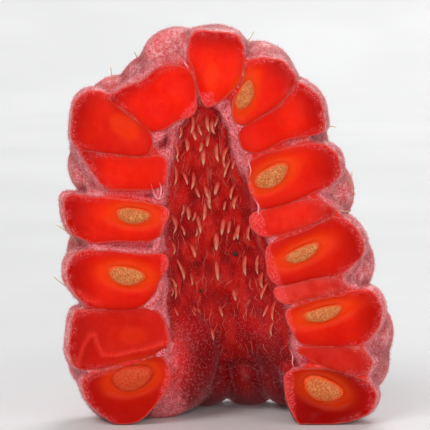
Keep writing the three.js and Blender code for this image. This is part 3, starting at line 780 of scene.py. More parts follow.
def pulp_finish():
    n = Nodes("pulp")
    outer, glow, rim, deep, fold = n.masks("outer glow rim deep fold")
    edge, milk, dusk, beads, fray = n.masks("edge milk dusk beads fray")
    base = n.over(srgb(234, 17, 3), (250, 34, 5), n.band(n.noise(1.3, 3.0), 0.3, 0.7))
    base = n.over(base, (255, 64, 20), n.band(n.noise(0.3, 5.0, 0.65), 0.42, 0.62), 0.16)
    base = n.over(base, (206, 12, 6), edge, 0.35)
    # Painted shade on the cut faces low on the fruit, which also dims their orange round the seeds.
    base = n.over(base, (152, 5, 2), dusk)
    base = n.over(base, (172, 5, 2), outer, 0.9)
    base = n.over(base, (212, 26, 20), deep, 0.4)
    base = n.over(base, (255, 78, 16), glow, n.band(dusk, 0.0, 1.0, 0.8, 0.5))
    speck = n.noise(0.1, 4.0, 0.7)
    frost = n.band(n.plus(n.times(rim, 0.7), n.times(speck, 0.55)), 0.72, 0.95)
    base = n.over(base, (240, 100, 92), frost, 0.5)
    dots = n.band(n.cells(0.11), 0.5, 0.2)
    grainy = n.times(beads, n.band(n.noise(0.4, 3.0), 0.35, 0.6))
    base = n.over(base, (246, 128, 130), grainy, n.plus(n.times(dots, 0.55), 0.12))
    patchy = n.noise(0.5, 3.0)
    base = n.over(base, (242, 84, 66), milk, n.band(patchy, 0.35, 0.65, 0.4, 1.0))
    base = n.over(base, (244, 84, 66), fold, n.band(speck, 0.3, 0.7, 0.1, 0.5))
    fibre = n.noise(0.08, 4.0, 0.7)
    frayed = n.band(n.plus(n.times(fray, 0.62), n.times(n.noise(0.35, 3.0), 0.5)), 0.62, 0.92)
    tinted = n.over(srgb(236, 44, 42), (248, 122, 124), n.band(fibre, 0.4, 0.6))
    return n.shade(
        Base_Color=n.mix(n.times(frayed, n.band(fibre, 0.3, 0.6, 0.15, 0.55)), base, tinted),
        Roughness=0.28, IOR=1.33, Specular_IOR_Level=0.08,
        Subsurface_Weight=1.0, Subsurface_Radius=(1.0, 0.16, 0.08), Subsurface_Scale=0.7 * MM,
        Normal=n.relief((patchy, 0.03), (n.times(speck, rim), 0.05), (n.times(dots, grainy), 0.03),
                        (n.times(fibre, frayed), 0.03)),
    )


def seed_finish():
    n = Nodes("seed")
    pit, edge, veil = n.masks("pit edge veil")
    grain = n.noise(0.16, 3.0)
    ragged = n.band(n.plus(edge, n.times(n.noise(0.14, 3.0), 0.7)), 0.35, 1.15)
    colour = n.over(srgb(198, 136, 76), (226, 170, 102), n.band(grain, 0.35, 0.65))
    colour = n.over(colour, (176, 78, 38), pit, 0.75)
    colour = n.over(colour, (206, 40, 12), veil)
    around = n.over(srgb(244, 70, 16), (206, 40, 10), n.band(veil, 0.3, 0.7))
    return n.shade(
        Base_Color=n.mix(ragged, colour, around), Roughness=0.42, Specular_IOR_Level=0.1,
        Subsurface_Weight=0.7, Subsurface_Radius=(1.0, 0.3, 0.12), Subsurface_Scale=0.3 * MM,
        Normal=n.relief((grain, 0.03)),
    )


def strand_finish(name, root, middle, tip, roughness):
    """Soft plant fibre, from its root's display colour over its middle to its tip."""
    n = Nodes(name)
    along, = n.masks("tip")
    colour = n.over(srgb(*root), middle, n.band(along, 0.05, 0.45))
    colour = n.over(colour, tip, n.band(along, 0.55, 1.0))
    streak = n.noise(0.05, 3.0, 0.6, n.stretched((1.0, 1.0, 0.3)))
    shadow = tuple(0.6 * c for c in srgb(*middle))
    return n.shade(
        Base_Color=n.mix(n.band(streak, 0.4, 0.7, 0.0, 0.35), colour, shadow), Roughness=roughness,
        Subsurface_Weight=0.3, Subsurface_Radius=(1.0, 0.5, 0.3), Subsurface_Scale=0.15 * MM,
        Normal=n.relief((streak, 0.01)),
    )


def plain_finish(name, low, high, size, roughness):
    n = Nodes(name)
    colour = n.mix(n.band(n.noise(size, 2.0), 0.35, 0.65), low, high)
    return n.shade(Base_Color=colour, Roughness=roughness)


# Skin of all drupelets, with the hollow's wall

# Downy pads between the cut drupelets: x, z at one end, x, z at the other, radius.
PADS = [
    [-7.0, 9.3, -4.2, 9.1, 0.16], [-3.75, 9.2, -3.4, 10.3, 0.25], [-4.1, 6.25, -3.5, 7.1, 0.30],
    [-3.7, 12.05, -3.35, 12.6, 0.26], [-4.0, 14.9, -3.5, 15.2, 0.26], [-3.5, 3.8, -3.1, 4.3, 0.24],
    [-7.6, 2.85, -5.5, 3.2, 0.10], [-2.1, 17.0, -2.3, 16.3, 0.18], [0.5, 15.7, 0.75, 15.2, 0.26],
    [0.9, 14.3, 1.05, 13.6, 0.24], [1.2, 11.8, 1.7, 11.2, 0.24], [1.5, 9.8, 2.0, 9.3, 0.26],
    [2.2, 7.8, 2.5, 7.3, 0.22], [2.7, 6.5, 2.85, 6.1, 0.20], [3.1, 5.2, 3.5, 4.3, 0.18],
    [3.3, 3.9, 3.4, 3.1, 0.26], [3.0, 2.6, 3.35, 0.6, 0.13], [2.2, 9.85, 5.0, 10.9, 0.08],
]


def pad_field(points):
    """Distance to the downy pads between the cut drupelets."""
    nearest = np.full(points.shape[:-1], 9.0)
    for x0, z0, x1, z1, radius in PADS:
        a = np.array([x0, 0.06, z0])
        along = np.array([x1, 0.06, z1]) - a
        t = np.clip(((points - a) @ along) / (along @ along), 0, 1)
        nearest = np.minimum(nearest, np.linalg.norm(points - a - t[..., None] * along, axis=-1) - radius)
    return nearest


def skin_masks(points, first, second, whole):
    """Where the skin is downy, creased, inside the hollow or close beside the cut, and where painted
    shade and rim light go.
    """
    x, y, z = points.T
    near, next_near = sample(first, points), sample(second, points)
    out_of_core = -core_field(points)
    left_foot, right_foot = (ramp(foot_lobe_field(points, *lobe), 0.3, 0.08) for lobe in FOOT_LOBES)
    on_foot = np.maximum(left_foot, right_foot) * ramp(z, 6.0, 4.2)
    hollow = ramp(out_of_core, 0.7, 0.4) * ramp(z, 1.8, 3.4) * (1 - on_foot)
    relief = -wall_relief(points)
    near_cut, next_cut = cut_distances(x, z)
    web = ramp(smooth_min(near_cut, next_cut, WEB_REACH), 0.14, 0.04) * ramp(y, 0.3, 0.1)
    pads = ramp(pad_field(points), 0.16, 0.02) * ramp(y, 0.7, 0.2)
    collar = ramp(out_of_core, 0.6, 0.15) * ramp(y, 0.5, 0.05)
    gaps = ramp(near, -0.04, 0.08) * ramp(y, 0.9, 0.2)
    frost = 0.22 + 0.2 * ramp(x, -1.4, -3.0) + 0.25 * ramp(z, 2.8, 0.9) * ramp(x, -1.5, -2.7)
    foot = left_foot * ramp(z, 6.0, 4.2) * ramp(x, -0.7, -1.6) * frost
    felt = np.maximum.reduce([pads, 0.6 * collar, 0.55 * gaps * (1 - web), foot])
    felt = np.clip(felt + 0.45 * hollow * ramp(y, 1.6, 0.2), 0, 1)
    web *= 1 - np.maximum(pads, collar)
    # crease: where two drupelets meet, painted darker as shade and given more down.
    crease = ramp(next_near - near, 0.55, 0.05) * ramp(y, 0.2, 0.9) * (1 - hollow)
    # Painted shade: the insides of the lowest drupelets, deep beyond the hollow, are darkened.
    inner = ramp(z, 6.2, 3.2) * ramp(np.hypot(x - 0.3, y), 6.2, 5.0) * ramp(y, 0.1, 0.8)
    order = np.argmin(np.linalg.norm(points[:, None, :] - whole[None, :, :], axis=2), axis=1)
    return {
        "felt": felt,
        "crease": crease,
        "hollow": hollow,
        "lobe": (np.sin(order * 12.9898) * 43758.5453) % 1.0,
        # band: the skin just behind the cut, where pale down with painted rim light and highlights is
        # laid.
        "band": ramp(y, 2.4, 0.8) * ramp(out_of_core + ramp(z, 16.5, 18.5), 2.2, 3.4) * (1 - hollow),
        # ridge: the wall's relief, from groove to ridge, which sets its painted shade.
        "ridge": ramp(relief, -0.12, 0.13) * hollow,
        "web": web,
        "inner": inner * (1 - hollow),
        "seam": web * ramp(np.abs(next_cut - near_cut), 0.1, 0.02),
        # low: painted shade in the hollow, stronger further down.
        "low": ramp(z, 12.5, 3.5),
    }


# Cut pulp of one drupelet: a raised, rounded face sunk into its skin. Its edge lies at PULP_EDGE_Y,
# PULP_SPREAD outside the outline, and the face rises by PULP_FRONT over PULP_ROUND. At a seed it
# dips by SEED_DIP behind a lip of SEED_LIP. It closes behind over PULP_BACK_RINGS, [scale, y].
PULP_SIDES = 120
PULP_RINGS = 22
PULP_FRONT = 0.17
PULP_EDGE_Y = -0.04
PULP_ROUND = 0.24
PULP_SPREAD = 0.12
PULP_LOWEST = 0.03
PULP_BACK_RINGS = [(0.97, 0.22), (0.8, 0.4), (0.4, 0.5)]
PULP_BACK = 0.52
SEED_DIP = 0.07
SEED_LIP = 0.045

# Seeds deep under the cut, seen as a faint glow: centre [x, z], half sizes, tilt in degrees, strength.
DEEP_SEEDS = [
    ([-5.35, 15.7], [0.9, 0.55], -35, 0.5), ([-0.85, 18.3], [0.4, 0.75], 0, 0.35),
    ([-4.95, 4.75], [0.7, 0.5], 0, 0.3),
]

# Folds of torn membrane on the cut faces: height, half width, points [x, z] along it.
FOLDS = [
    (0.09, 0.13, [[-7.8, 3.3], [-7.6, 4.1], [-7.25, 4.75], [-6.95, 4.8], [-6.8, 4.3], [-6.55, 3.75]]),
    (0.10, 0.12, [[-6.55, 3.75], [-5.8, 3.72], [-5.0, 3.92], [-4.2, 4.08], [-3.4, 4.35]]),
    (0.08, 0.14, [[-7.75, 7.0], [-7.35, 6.65], [-6.8, 6.5]]),
]

# How milky some cut faces are.
MILKY = {"right_4": 0.2, "right_6": 0.45, "right_8": 0.2, "left_2": 0.08}

# Painted shade: how much darker some cut faces are, most of all low on the fruit.
SHADED_FACES = {
    "left_1": 0.7, "left_2": 0.5, "left_3": 0.25, "left_4": 0.2, "left_5": 0.3, "left_5_low": 0.15,
    "right_1": 0.1, "right_2": 0.15, "right_3": 0.25, "right_4": 0.15, "right_5": 0.4, "right_6": 0.45,
    "right_7": 0.35, "right_8": 0.55, "right_9": 1.0,
}


def to_line(x, z, start, end):
    """Distance to a straight line between two points of the cut plane."""
    (ax, az), (bx, bz) = start, end
    ex, ez = bx - ax, bz - az
    t = np.clip(((x - ax) * ex + (z - az) * ez) / (ex * ex + ez * ez), 0, 1)
    return np.hypot(x - ax - t * ex, z - az - t * ez)


def seed_reach(x, z, place, size, tilt):
    """How far points lie from a seed's middle, in its own half sizes."""
    angle = math.radians(tilt)
    along = (x - place[0]) * math.cos(angle) + (z - place[1]) * math.sin(angle)
    across = -(x - place[0]) * math.sin(angle) + (z - place[1]) * math.cos(angle)
    return np.hypot(along / size[0], across / size[1])


def seed_distance(x, z):
    """Distance to the rim of the nearest bared seed, negative over the seed."""
    return np.minimum.reduce([(seed_reach(x, z, *seed) - 1) * seed[1][1] for seed in SEEDS])


def pulp_piece(key, outline, material):
    polygon = smooth_outline(outline, PULP_SIDES)
    centre = np.mean(outline, axis=0)
    on_plane = np.column_stack([polygon[:, 0], np.zeros(PULP_SIDES), polygon[:, 1]])
    ragged = lattice_noise(on_plane, 0.3, 21)
    along = np.roll(polygon, -1, axis=0) - np.roll(polygon, 1, axis=0)
    outward = np.column_stack([along[:, 1], -along[:, 0]]) / np.linalg.norm(along, axis=1)[:, None]
    polygon = polygon + outward * (PULP_SPREAD + 0.03 * ragged[:, None])
    polygon[:, 1] = np.maximum(polygon[:, 1], PULP_LOWEST)
    scales = 1 - 0.97 * (np.arange(PULP_RINGS) / PULP_RINGS) ** 1.5
    flat = np.vstack([centre + (polygon - centre) * scale for scale in scales] + [centre[None, :]])
    x, z = flat.T
    rim = np.maximum(-outline_distance(x, z, polygon), 0)
    rise = np.sqrt(1 - (1 - np.clip(rim / PULP_ROUND, 0, 1)) ** 2)
    place = np.column_stack([x, np.zeros(len(x)), z])
    unrest = 0.03 * lattice_noise(place, 0.9, 11)
    unrest += 0.008 * lattice_noise(place, 0.35, 13)
    to_seed = seed_distance(x, z)
    dip = SEED_DIP * ramp(to_seed, 0.35, 0.0) - SEED_LIP * np.exp(-((to_seed + 0.03) / 0.08) ** 2)
    folds = np.zeros(len(x))
    for height, width, path in FOLDS:
        away = np.minimum.reduce([to_line(x, z, a, b) for a, b in zip(path, path[1:])])
        folds = np.maximum(folds, height * np.exp(-(away / width) ** 2) * ramp(rim, 0.0, 0.12))
    y = PULP_EDGE_Y - (PULP_FRONT + unrest - dip) * rise - folds
    front = np.column_stack([x, y, z])
    back = []
    for scale, depth in PULP_BACK_RINGS:
        ring = centre + (polygon - centre) * scale
        back.append(np.column_stack([ring[:, 0], np.full(len(ring), depth), ring[:, 1]]))
    vertices = np.vstack([front] + back + [[[centre[0], PULP_BACK, centre[1]]]])
    n, rows = PULP_SIDES, PULP_RINGS
    middle = rows * n
    first_back = middle + 1
    faces = ring_quads(0, n, rows)
    faces += [quad[::-1] for quad in ring_quads(first_back, n, len(PULP_BACK_RINGS))]
    last_ring = first_back + (len(PULP_BACK_RINGS) - 1) * n
    for i in range(n):
        j = (i + 1) % n
        faces.append(((rows - 1) * n + i, (rows - 1) * n + j, middle))
        faces.append((j, i, first_back + i, first_back + j))
        faces.append((last_ring + j, last_ring + i, len(vertices) - 1))
    vx, vz = vertices[:, 0], vertices[:, 2]
    core = core_point(centre[1])
    way = centre - core[[0, 2]]
    reach = vertices[:, [0, 2]] @ (way / np.linalg.norm(way))
    span = (reach - reach.min()) / (reach.max() - reach.min())
    glow = 0.75 * np.exp(-np.maximum(seed_distance(vx, vz), 0) ** 2 / 0.07)
    for spot, size, tilt, strength in DEEP_SEEDS:
        glow = np.maximum(glow, strength * ramp(seed_reach(vx, vz, spot, size, tilt), 1.25, 0.7))
    behind = np.zeros(len(vertices) - len(rim))
    rim = np.append(rim, behind)
    piece("pulp_" + key, vertices, faces, material, {
        "outer": ramp(span, 0.62, 1.0),
        "glow": glow,
        "rim": ramp(rim, 0.17, 0.06),
        "edge": ramp(rim, 0.6, 0.1),
        "fray": ramp(-core_field(vertices), 0.6, 0.0),
        "beads": ramp(span, 0.5, 0.85) * ramp(rim, 0.5, 0.1),
        "deep": ramp(span, 0.3, 0.0),
        "fold": np.append(np.clip(folds / 0.1, 0, 1), behind),
        "milk": np.full(len(vertices), MILKY.get(key, 0.0)),
        "dusk": np.full(len(vertices), SHADED_FACES.get(key, 0.0)),
    })


# Seeds: beans with a netted, pitted stone

SEED_RINGS = 94
SEED_SIDES = 72
SEED_PITS = 330

# How far a film of pulp hides each seed.
SEED_VEIL = [0.25, 0.22, 0.78, 0.3, 0.2, 0.22, 0.25, 0.3]


def seed_piece(index, material):
    (cx, cz), (half, thick), tilt = SEEDS[index]
    t = np.linspace(0, math.pi, SEED_RINGS + 2)[1:-1]
    u = np.linspace(0, 2 * math.pi, SEED_SIDES, endpoint=False)
    t, u = (grid.ravel() for grid in np.meshgrid(t, u, indexing="ij"))
    unit = np.column_stack([np.cos(t), np.sin(t) * np.sin(u), np.sin(t) * np.cos(u)])
    unit = np.vstack([unit, [[1, 0, 0], [-1, 0, 0]]])
    rng = np.random.default_rng(40 + index)
    k = np.arange(SEED_PITS) + 0.5
    tall = 1 - 2 * k / SEED_PITS
    turn = k * math.pi * (1 + 5 ** 0.5)
    wide = np.sqrt(1 - tall ** 2)
    pits = np.column_stack([tall, wide * np.cos(turn), wide * np.sin(turn)])
    pits += rng.normal(0, 0.045, pits.shape)
    size = np.array([half, SEED_HALF_DEPTH, thick])
    gaps = np.linalg.norm((unit * size)[:, None, :] - (pits * size)[None, :, :], axis=2)
    gaps.partition(1, axis=1)
    pit = ramp(gaps[:, 1] - gaps[:, 0], 0.0, 0.075)
    push = 1 - 0.026 * pit / thick
    along = half * unit[:, 0] * push
    across = thick * unit[:, 2] * (1 - 0.14 * unit[:, 0]) * push + 0.16 * half * unit[:, 0] ** 2 - 0.07
    depth = SEED_HALF_DEPTH * unit[:, 1] * push
    angle = math.radians(tilt)
    vertices = np.column_stack([
        cx + along * math.cos(angle) - across * math.sin(angle),
        SEED_CENTRE_Y + depth,
        cz + along * math.sin(angle) + across * math.cos(angle),
    ])
    faces = ring_quads(0, SEED_SIDES, SEED_RINGS)
    end = SEED_SIDES * SEED_RINGS
    for i in range(SEED_SIDES):
        j = (i + 1) % SEED_SIDES
        faces.append((end, j, i))
        faces.append((end - SEED_SIDES + i, end - SEED_SIDES + j, end + 1))
    rim = np.hypot(unit[:, 0], unit[:, 2])
    masks = {"pit": pit, "edge": ramp(rim, 0.6, 0.95), "veil": np.full(len(vertices), SEED_VEIL[index])}
    number = f"{index + 1:02d}"
    piece("seed_stone_" + number, vertices, faces, material, masks, "seed_" + number)


# Pegs, styles and down

# Torn pegs: [x, z] of each root. SMALL_PEGS more are strewn between them.
PEGS = [
    [-1.9, 16.3], [-2.4, 15.7], [-1.1, 16.2], [-0.8, 16.0], [-2.8, 14.8], [-2.2, 15.0], [-1.3, 14.5],
    [-0.6, 14.7], [-0.1, 14.5], [0.1, 13.9], [-2.8, 13.6], [-2.4, 13.2], [-1.8, 13.1], [-0.5, 12.6],
    [-1.0, 12.2], [0.3, 12.5], [0.5, 11.9], [-2.9, 10.9], [-2.1, 11.3], [-1.6, 10.8], [-1.2, 11.5],
    [-0.2, 10.6], [0.6, 10.3], [1.1, 10.3], [-0.6, 9.8], [-2.9, 9.5], [-2.0, 9.3], [0.9, 8.6],
    [1.6, 8.5], [-0.6, 8.3], [-2.8, 7.4], [-2.5, 8.3], [1.8, 7.8], [2.1, 7.2], [-2.9, 6.0],
    [-2.8, 4.9], [-2.3, 4.4], [-1.1, 4.7], [2.5, 6.3], [2.7, 5.2],
]
SMALL_PEGS = 34
STRANDS = 200


class Bundle:
    """Many small closed parts gathered into one mesh."""

    def __init__(self):
        self.vertices, self.faces, self.tip, self.count = [], [], [], 0

    def tube(self, path, width, depth, across, sides=6):
        """A closed strand along path, flattened: width along across, depth square to it."""
        path = np.asarray(path)
        start = self.count
        steps = len(path)
        for k, p in enumerate(path):
            way = path[min(k + 1, steps - 1)] - path[max(k - 1, 0)]
            side = across - way * (across @ way) / (way @ way)
            side /= np.linalg.norm(side)
            up = np.cross(way / np.linalg.norm(way), side)
            for i in range(sides):
                angle = 2 * math.pi * i / sides
                edge = side * width[k] * math.cos(angle) + up * depth[k] * math.sin(angle)
                self.vertices.append(p + edge)
                self.tip.append(k / (steps - 1))
        self.faces += ring_quads(start, sides, steps)
        self.faces.append(tuple(start + i for i in range(sides))[::-1])
        self.faces.append(tuple(start + (steps - 1) * sides + i for i in range(sides)))
        self.count += steps * sides

    def piece(self, name, material):
        piece(name, self.vertices, self.faces, material, {"tip": self.tip})


def wall_points(z, side, field):
    """Points of the hollow's wall at heights z, side being the share of the radius to the right."""
    back = np.sqrt(1 - side * side)
    reach = np.linspace(-0.7, 0.7, 57)[None, :] + core_radius(z)[:, None]
    x = core_centre(z)[:, None] + reach * side[:, None]
    points = np.stack([x, reach * back[:, None], z[:, None] + 0 * reach], axis=-1)
    solid = sample(field, points.reshape(-1, 3)).reshape(reach.shape) < 0
    hit = np.where(solid.any(axis=1), solid.argmax(axis=1), 28)
    return points[np.arange(len(z)), hit]


def peg_bundle(field):
    """Torn pegs that hang from the hollow's wall, with small ones between the large."""
    rng = np.random.default_rng(11)
    roots = [(x, z, 1.0) for x, z in PEGS]
    for z in rng.uniform(4.2, 16.4, SMALL_PEGS):
        roots.append((core_centre(z) + core_radius(z) * rng.uniform(-0.92, 0.92), z, 0.62))
    bundle = Bundle()
    for x, z, size in roots:
        side = np.clip((x - core_centre(z)) / core_radius(z), -0.96, 0.96)
        back = math.sqrt(1 - side * side)
        inward = np.array([-side, -back, 0.0])
        root = wall_points(np.array([z]), np.array([side]), field)[0]
        length = size * rng.uniform(0.65, 1.05)
        sway = rng.uniform(-0.2, 0.2)
        lift = rng.uniform(0.16, 0.34) * size
        t = np.linspace(0, 1, 9)
        out = lift * np.sin(t * 2.3) - 0.06 * (1 - t)
        hang = np.column_stack([sway * t ** 2, 0 * t, 0.1 - (length + 0.1) * t])
        path = root + inward * out[:, None] + hang
        shape = np.sin(np.clip(t * 0.8 + 0.2, 0, 1) * math.pi) ** 0.8
        width = 0.012 + rng.uniform(0.09, 0.15) * size ** 0.5 * shape
        depth = 0.01 + 0.05 * shape
        bundle.tube(path, width, depth, np.array([back, -side, 0.0]), 8)
    return bundle


def strand_bundle(field):
    """Fine pale fibres that lie down the hollow's wall."""
    rng = np.random.default_rng(23)
    bundle = Bundle()
    t = np.linspace(0, 1, 9)
    for _ in range(STRANDS):
        z = rng.uniform(3.8, 16.6)
        length = rng.uniform(0.35, 1.4)
        heights = np.maximum(z - length * t, 2.6)
        side = rng.uniform(-0.99, 0.99) + rng.uniform(-0.1, 0.1) * t
        side = np.clip(side + 0.03 * np.sin(t * rng.uniform(4, 9)), -0.995, 0.995)
        path = wall_points(heights, side, field)
        path[:, 1] -= 0.02
        if np.linalg.norm(np.diff(path, axis=0), axis=1).min() < 1e-3:
            continue
        width = rng.uniform(0.014, 0.028) * (1 - 0.7 * np.abs(2 * t - 1) ** 3)
        bundle.tube(path, width, width, np.array([1.0, 0.3, 0.0]), 4)
    return bundle


# Dried styles: foot and tip, with the reach of the bend.
STYLES = [
    ([-5.75, 1.2, 17.6], [-6.1, 0.9, 18.75], 0.1), ([-4.6, 2.0, 18.6], [-4.9, 1.6, 19.5], 0.08),
    ([0.75, 1.0, 19.9], [1.35, 0.8, 20.6], 0.1), ([5.0, 0.9, 15.6], [5.65, 0.8, 15.6], 0.05),
    ([6.3, 1.2, 12.3], [6.5, 0.9, 13.3], 0.08), ([-7.7, 0.8, 9.2], [-8.95, 0.5, 10.5], 0.18),
    ([-7.7, 0.8, 6.8], [-9.15, 0.5, 7.8], 0.15), ([6.55, 1.5, 7.3], [6.6, 0.9, 8.6], 0.12),
    ([8.3, 1.4, 3.8], [7.35, 0.7, 3.15], 0.1), ([6.4, 0.6, 11.25], [5.9, 0.3, 11.3], 0.06),
    ([-3.0, 6.0, 15.0], [-3.3, 7.0, 16.0], 0.12), ([1.4, 6.6, 12.6], [1.7, 8.0, 13.4], 0.15),
    ([-5.4, 5.6, 9.6], [-6.2, 6.9, 10.2], 0.12), ([4.4, 6.2, 8.2], [5.0, 7.4, 8.7], 0.12),
    ([-1.0, 7.8, 7.4], [-0.9, 8.9, 8.2], 0.15), ([-4.6, 6.6, 4.6], [-5.2, 7.8, 4.9], 0.12),
    ([3.2, 7.2, 4.2], [3.6, 8.4, 4.9], 0.12),
]


def style_bundle():
    bundle = Bundle()
    t = np.linspace(0, 1, 12)
    for i, (foot, tip, bend) in enumerate(STYLES):
        foot, tip = np.array(foot), np.array(tip)
        aside = np.cross(tip - foot, [math.sin(i * 1.3), math.cos(i * 2.1), 0.5])
        aside /= np.linalg.norm(aside)
        path = foot + (tip - foot) * t[:, None] + aside * bend * np.sin(t * math.pi)[:, None]
        width = 0.05 - 0.022 * np.sin(np.minimum(t, 0.85) / 0.85 * math.pi / 2)
        width[-2:] = 0.036, 0.02
        bundle.tube(path, width, width * 0.8, np.array([0.2, 1.0, 0.3]), 6)
    return bundle


# Wet threads of torn membrane at the corners of the cut cells: points [x, y, z].
THREADS = [
    [[-4.0, -0.2, 12.75], [-3.85, -0.3, 12.2], [-3.6, -0.32, 11.9], [-3.35, -0.25, 12.1],
     [-3.3, -0.15, 12.5]],
    [[-3.6, -0.15, 12.9], [-3.45, -0.3, 12.5], [-3.5, -0.32, 12.1], [-3.75, -0.25, 11.8]],
    [[-3.9, -0.1, 14.95], [-3.6, -0.25, 15.2], [-3.3, -0.22, 15.3], [-3.0, -0.1, 15.5]],
    [[1.15, -0.1, 14.3], [1.05, -0.25, 13.9], [1.2, -0.22, 13.4], [1.05, -0.1, 12.9]],
    [[1.3, -0.1, 12.0], [1.6, -0.25, 11.6], [1.55, -0.2, 11.2], [1.75, -0.1, 10.9]],
    [[-4.2, -0.1, 6.2], [-3.9, -0.28, 6.6], [-3.7, -0.26, 7.0], [-3.5, -0.1, 7.4]],
    [[3.2, -0.1, 4.1], [3.4, -0.25, 3.7], [3.35, -0.22, 3.3], [3.5, -0.1, 2.95]],
    [[-2.3, 0.0, 19.2], [-2.25, -0.12, 19.0], [-2.1, -0.14, 18.8], [-2.05, 0.0, 18.6]],
]


def thread_bundle():
    bundle = Bundle()
    for i, knots in enumerate(THREADS):
        knots = np.array(knots)
        at = np.linspace(0, len(knots) - 1, 15)
        path = np.column_stack([np.interp(at, range(len(knots)), knots[:, k]) for k in range(3)])
        path[1:-1] = (path[:-2] + 2 * path[1:-1] + path[2:]) / 4
        width = (0.035 + 0.015 * math.sin(i * 2.1)) * (1 - 0.6 * np.abs(np.linspace(-1, 1, 15)) ** 2)
        bundle.tube(path, width, width, np.array([0.3, 1.0, 0.2]), 8)
    return bundle


# Dry crumbs caught on the hollow's wall: height, share of the radius to the right, size.
CRUMBS = [(8.75, 0.34, 0.2), (6.75, -0.42, 0.13)]


def crumb_bundle(field):
    """Each crumb is a few short crossing stubs."""
    bundle = Bundle()
    rng = np.random.default_rng(5)
    for z, side, size in CRUMBS:
        middle = wall_points(np.array([z]), np.array([side]), field)[0] + np.array([0, -0.08, 0])
        for _ in range(7):
            way = rng.normal(0, 1, 3)
            way /= np.linalg.norm(way)
            start = middle + rng.normal(0, 0.25 * size, 3)
            path = start + way * np.linspace(-0.7, 0.7, 6)[:, None] * size
            width = size * 0.4 * np.sin(np.linspace(0.3, math.pi - 0.3, 6))
            bundle.tube(path, width, width * 0.7, np.cross(way, [0.3, 0.9, 0.4]), 6)
    return bundle


# Hairs grow above HAIR_LOWEST, and point upward where they are under HAIR_RISES.
HAIRS = 44000
HAIR_LOWEST = 0.08
HAIR_RISES = 0.35
HAIR_RADIUS = 0.01


def down_piece(points, quads, masks, material):
    """Short fine hairs all over the skin, thick on the felt and sparse elsewhere."""
    rng = np.random.default_rng(7)
    corner = points[quads]
    normal = np.cross(corner[:, 2] - corner[:, 0], corner[:, 3] - corner[:, 1])
    area = np.linalg.norm(normal, axis=1) / 2
    normal /= np.maximum(2 * area[:, None], 1e-9)
    felt, hollow, crease = (masks[key][quads].mean(axis=1) for key in ("felt", "hollow", "crease"))
    middle = corner.mean(axis=1)
    gap = smooth_min(*cut_distances(middle[:, 0], middle[:, 2]), WEB_REACH)
    grows = 1 - ramp(gap, 0.12, 0.02) * ramp(middle[:, 1], 0.4, 0.1)
    inner = masks["inner"][quads].mean(axis=1)
    density = area * (0.6 + 0.8 * felt - 0.45 * hollow + 0.4 * crease - 0.45 * inner) * grows
    density *= middle[:, 2] > HAIR_LOWEST
    pick = rng.choice(len(quads), HAIRS, p=density / density.sum())
    u, v = rng.random((HAIRS, 2)).T[..., None]
    a, b, c, d = (corner[pick, k] for k in range(4))
    p = (a * (1 - u) + b * u) * (1 - v) + (d * (1 - u) + c * u) * v
    way = normal[pick] + rng.normal(0, 0.5, (HAIRS, 3))
    low = p[:, 2] < HAIR_RISES
    way[low, 2] = np.abs(way[low, 2])
    way /= np.linalg.norm(way, axis=1)[:, None]
    length = 0.07 + 0.12 * rng.random(HAIRS) + 0.05 * felt[pick]
    side = np.cross(way, rng.normal(0, 1, (HAIRS, 3)))
    side /= np.linalg.norm(side, axis=1)[:, None]
    other = np.cross(way, side)
    root = p - way * 0.03
    root[:, 2] = np.maximum(root[:, 2], 0.02)
    corners = [root + (side * math.cos(q) + other * math.sin(q)) * HAIR_RADIUS for q in (0.0, 2.1, 4.2)]
    corners.append(p + way * length[:, None])
    vertices = np.stack(corners, axis=1).reshape(-1, 3)
    base = np.arange(HAIRS)[:, None, None] * 4
    faces = (base + np.array([[0, 2, 1], [0, 1, 3], [1, 2, 3], [2, 0, 3]])).reshape(-1, 3)
    tip = np.tile([0.0, 0.0, 0.0, 1.0], HAIRS)
    piece("down", vertices, faces, material, {"tip": tip})


def build():
    whole_lobes = spread_lobes()
    field, first, second = skin_fields(whole_lobes)
    points, faces = largest_body(*surface_nets(field))
    masks = skin_masks(points, first, second, whole_lobes)
    piece("fruit_skin", points, faces, skin_finish(), masks)
    pulp = pulp_finish()
    for key, (_, outline) in CUT_LOBES.items():
        pulp_piece(key, outline, pulp)
    stone = seed_finish()
    for index in range(len(SEEDS)):
        seed_piece(index, stone)
    peg = strand_finish("peg", (204, 24, 16), (214, 84, 62), (240, 190, 152), 0.4)
    peg_bundle(field).piece("core_pegs", peg)
    strand = strand_finish("strand", (196, 24, 16), (230, 92, 78), (200, 34, 24), 0.4)
    strand_bundle(field).piece("core_strands", strand)
    wet = strand_finish("wet", (236, 70, 74), (246, 150, 156), (238, 80, 84), 0.12)
    thread_bundle().piece("wet_threads", wet)
    style = strand_finish("style", (170, 96, 60), (206, 176, 122), (228, 206, 156), 0.5)
    style_bundle().piece("styles", style)
    crumb = plain_finish("crumb", srgb(52, 26, 14), srgb(96, 52, 28), 0.1, 0.7)
    crumb_bundle(field).piece("crumbs", crumb)
    down = strand_finish("down", (232, 78, 86), (244, 132, 138), (254, 214, 216), 0.5)
    down_piece(points, faces, masks, down)


build()


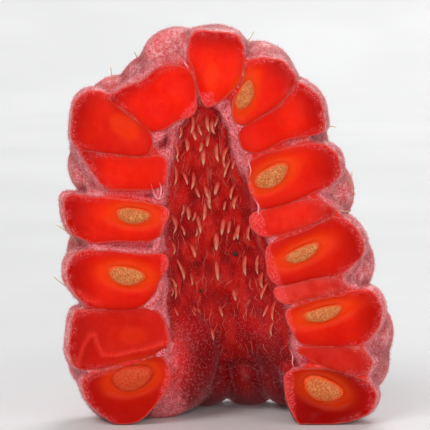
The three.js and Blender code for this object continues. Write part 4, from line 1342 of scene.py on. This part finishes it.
def floor_sweep():
    """A level floor that curves up into a backdrop."""
    turn = np.linspace(0, math.pi / 2, 25)
    curve = [(0.25 + 0.3 * math.sin(a), 0.3 - 0.3 * math.cos(a)) for a in turn]
    profile = [(-1.0, 0.0)] + curve + [(0.55, 1.5)]
    sweep = [(side, y, z) for y, z in profile for side in (-2.0, 2.0)]
    mesh = bpy.data.meshes.new("floor")
    strips = [(k, k + 1, k + 3, k + 2) for k in range(0, len(sweep) - 2, 2)]
    mesh.from_pydata(sweep, [], strips)
    mesh.shade_smooth()
    floor = bpy.data.objects.new("floor", mesh)
    bpy.context.collection.objects.link(floor)
    mesh.materials.append(plain_finish("floor", (0.66, 0.66, 0.66), (0.70, 0.70, 0.70), 40.0, 0.6))


# The camera looks at CAMERA_TARGET, a place of the fruit's own frame, from a little above, and sees
# VIEW_WIDTH there. Distances and widths from here on are metres.
CAMERA_TARGET = np.array([-0.676, 0.0, 11.08])
CAMERA_RISE = math.radians(6.0)
CAMERA_DISTANCE = 0.12
VIEW_WIDTH = 0.02236
SENSOR_WIDTH = 36

# Soft lights: name, place, size, power in watts.
LIGHTS = [
    ("key", (-0.45, -0.55, 0.75), 0.5, 4.2),
    ("fill", (0.5, -0.5, 0.35), 0.5, 1.3),
    ("front", (0.0, -0.6, 0.15), 0.3, 1.1),
    ("rim", (0.15, 0.4, 0.5), 0.3, 2.2),
]


def camera_and_light():
    scene = bpy.context.scene
    lens = bpy.data.cameras.new("camera")
    camera = bpy.data.objects.new("camera", lens)
    bpy.context.collection.objects.link(camera)
    scene.camera = camera
    away = np.array([0, -math.cos(CAMERA_RISE), math.sin(CAMERA_RISE)])
    camera.location = (CAMERA_TARGET + ROW_SHIFT) * MM + CAMERA_DISTANCE * away
    camera.rotation_euler = (math.pi / 2 - CAMERA_RISE, 0, 0)
    lens.sensor_width = SENSOR_WIDTH
    lens.lens = SENSOR_WIDTH * CAMERA_DISTANCE / VIEW_WIDTH
    lens.clip_start = 0.01
    lens.clip_end = 10
    for name, place, size, power in LIGHTS:
        data = bpy.data.lights.new(name, "AREA")
        data.size = size
        data.energy = power
        light = bpy.data.objects.new(name, data)
        light.location = place
        way = np.array([0, 0, 0.01]) - np.array(place)
        light.rotation_euler = Vector(way).to_track_quat("-Z", "Y").to_euler()
        bpy.context.collection.objects.link(light)
    world = bpy.data.worlds.new("studio")
    scene.world = world
    world.use_nodes = True
    sky = world.node_tree.nodes["Background"].inputs
    sky["Color"].default_value = (0.96, 0.97, 1.0, 1)
    sky["Strength"].default_value = 0.3
    scene.view_settings.view_transform = "Standard"


floor_sweep()
camera_and_light()
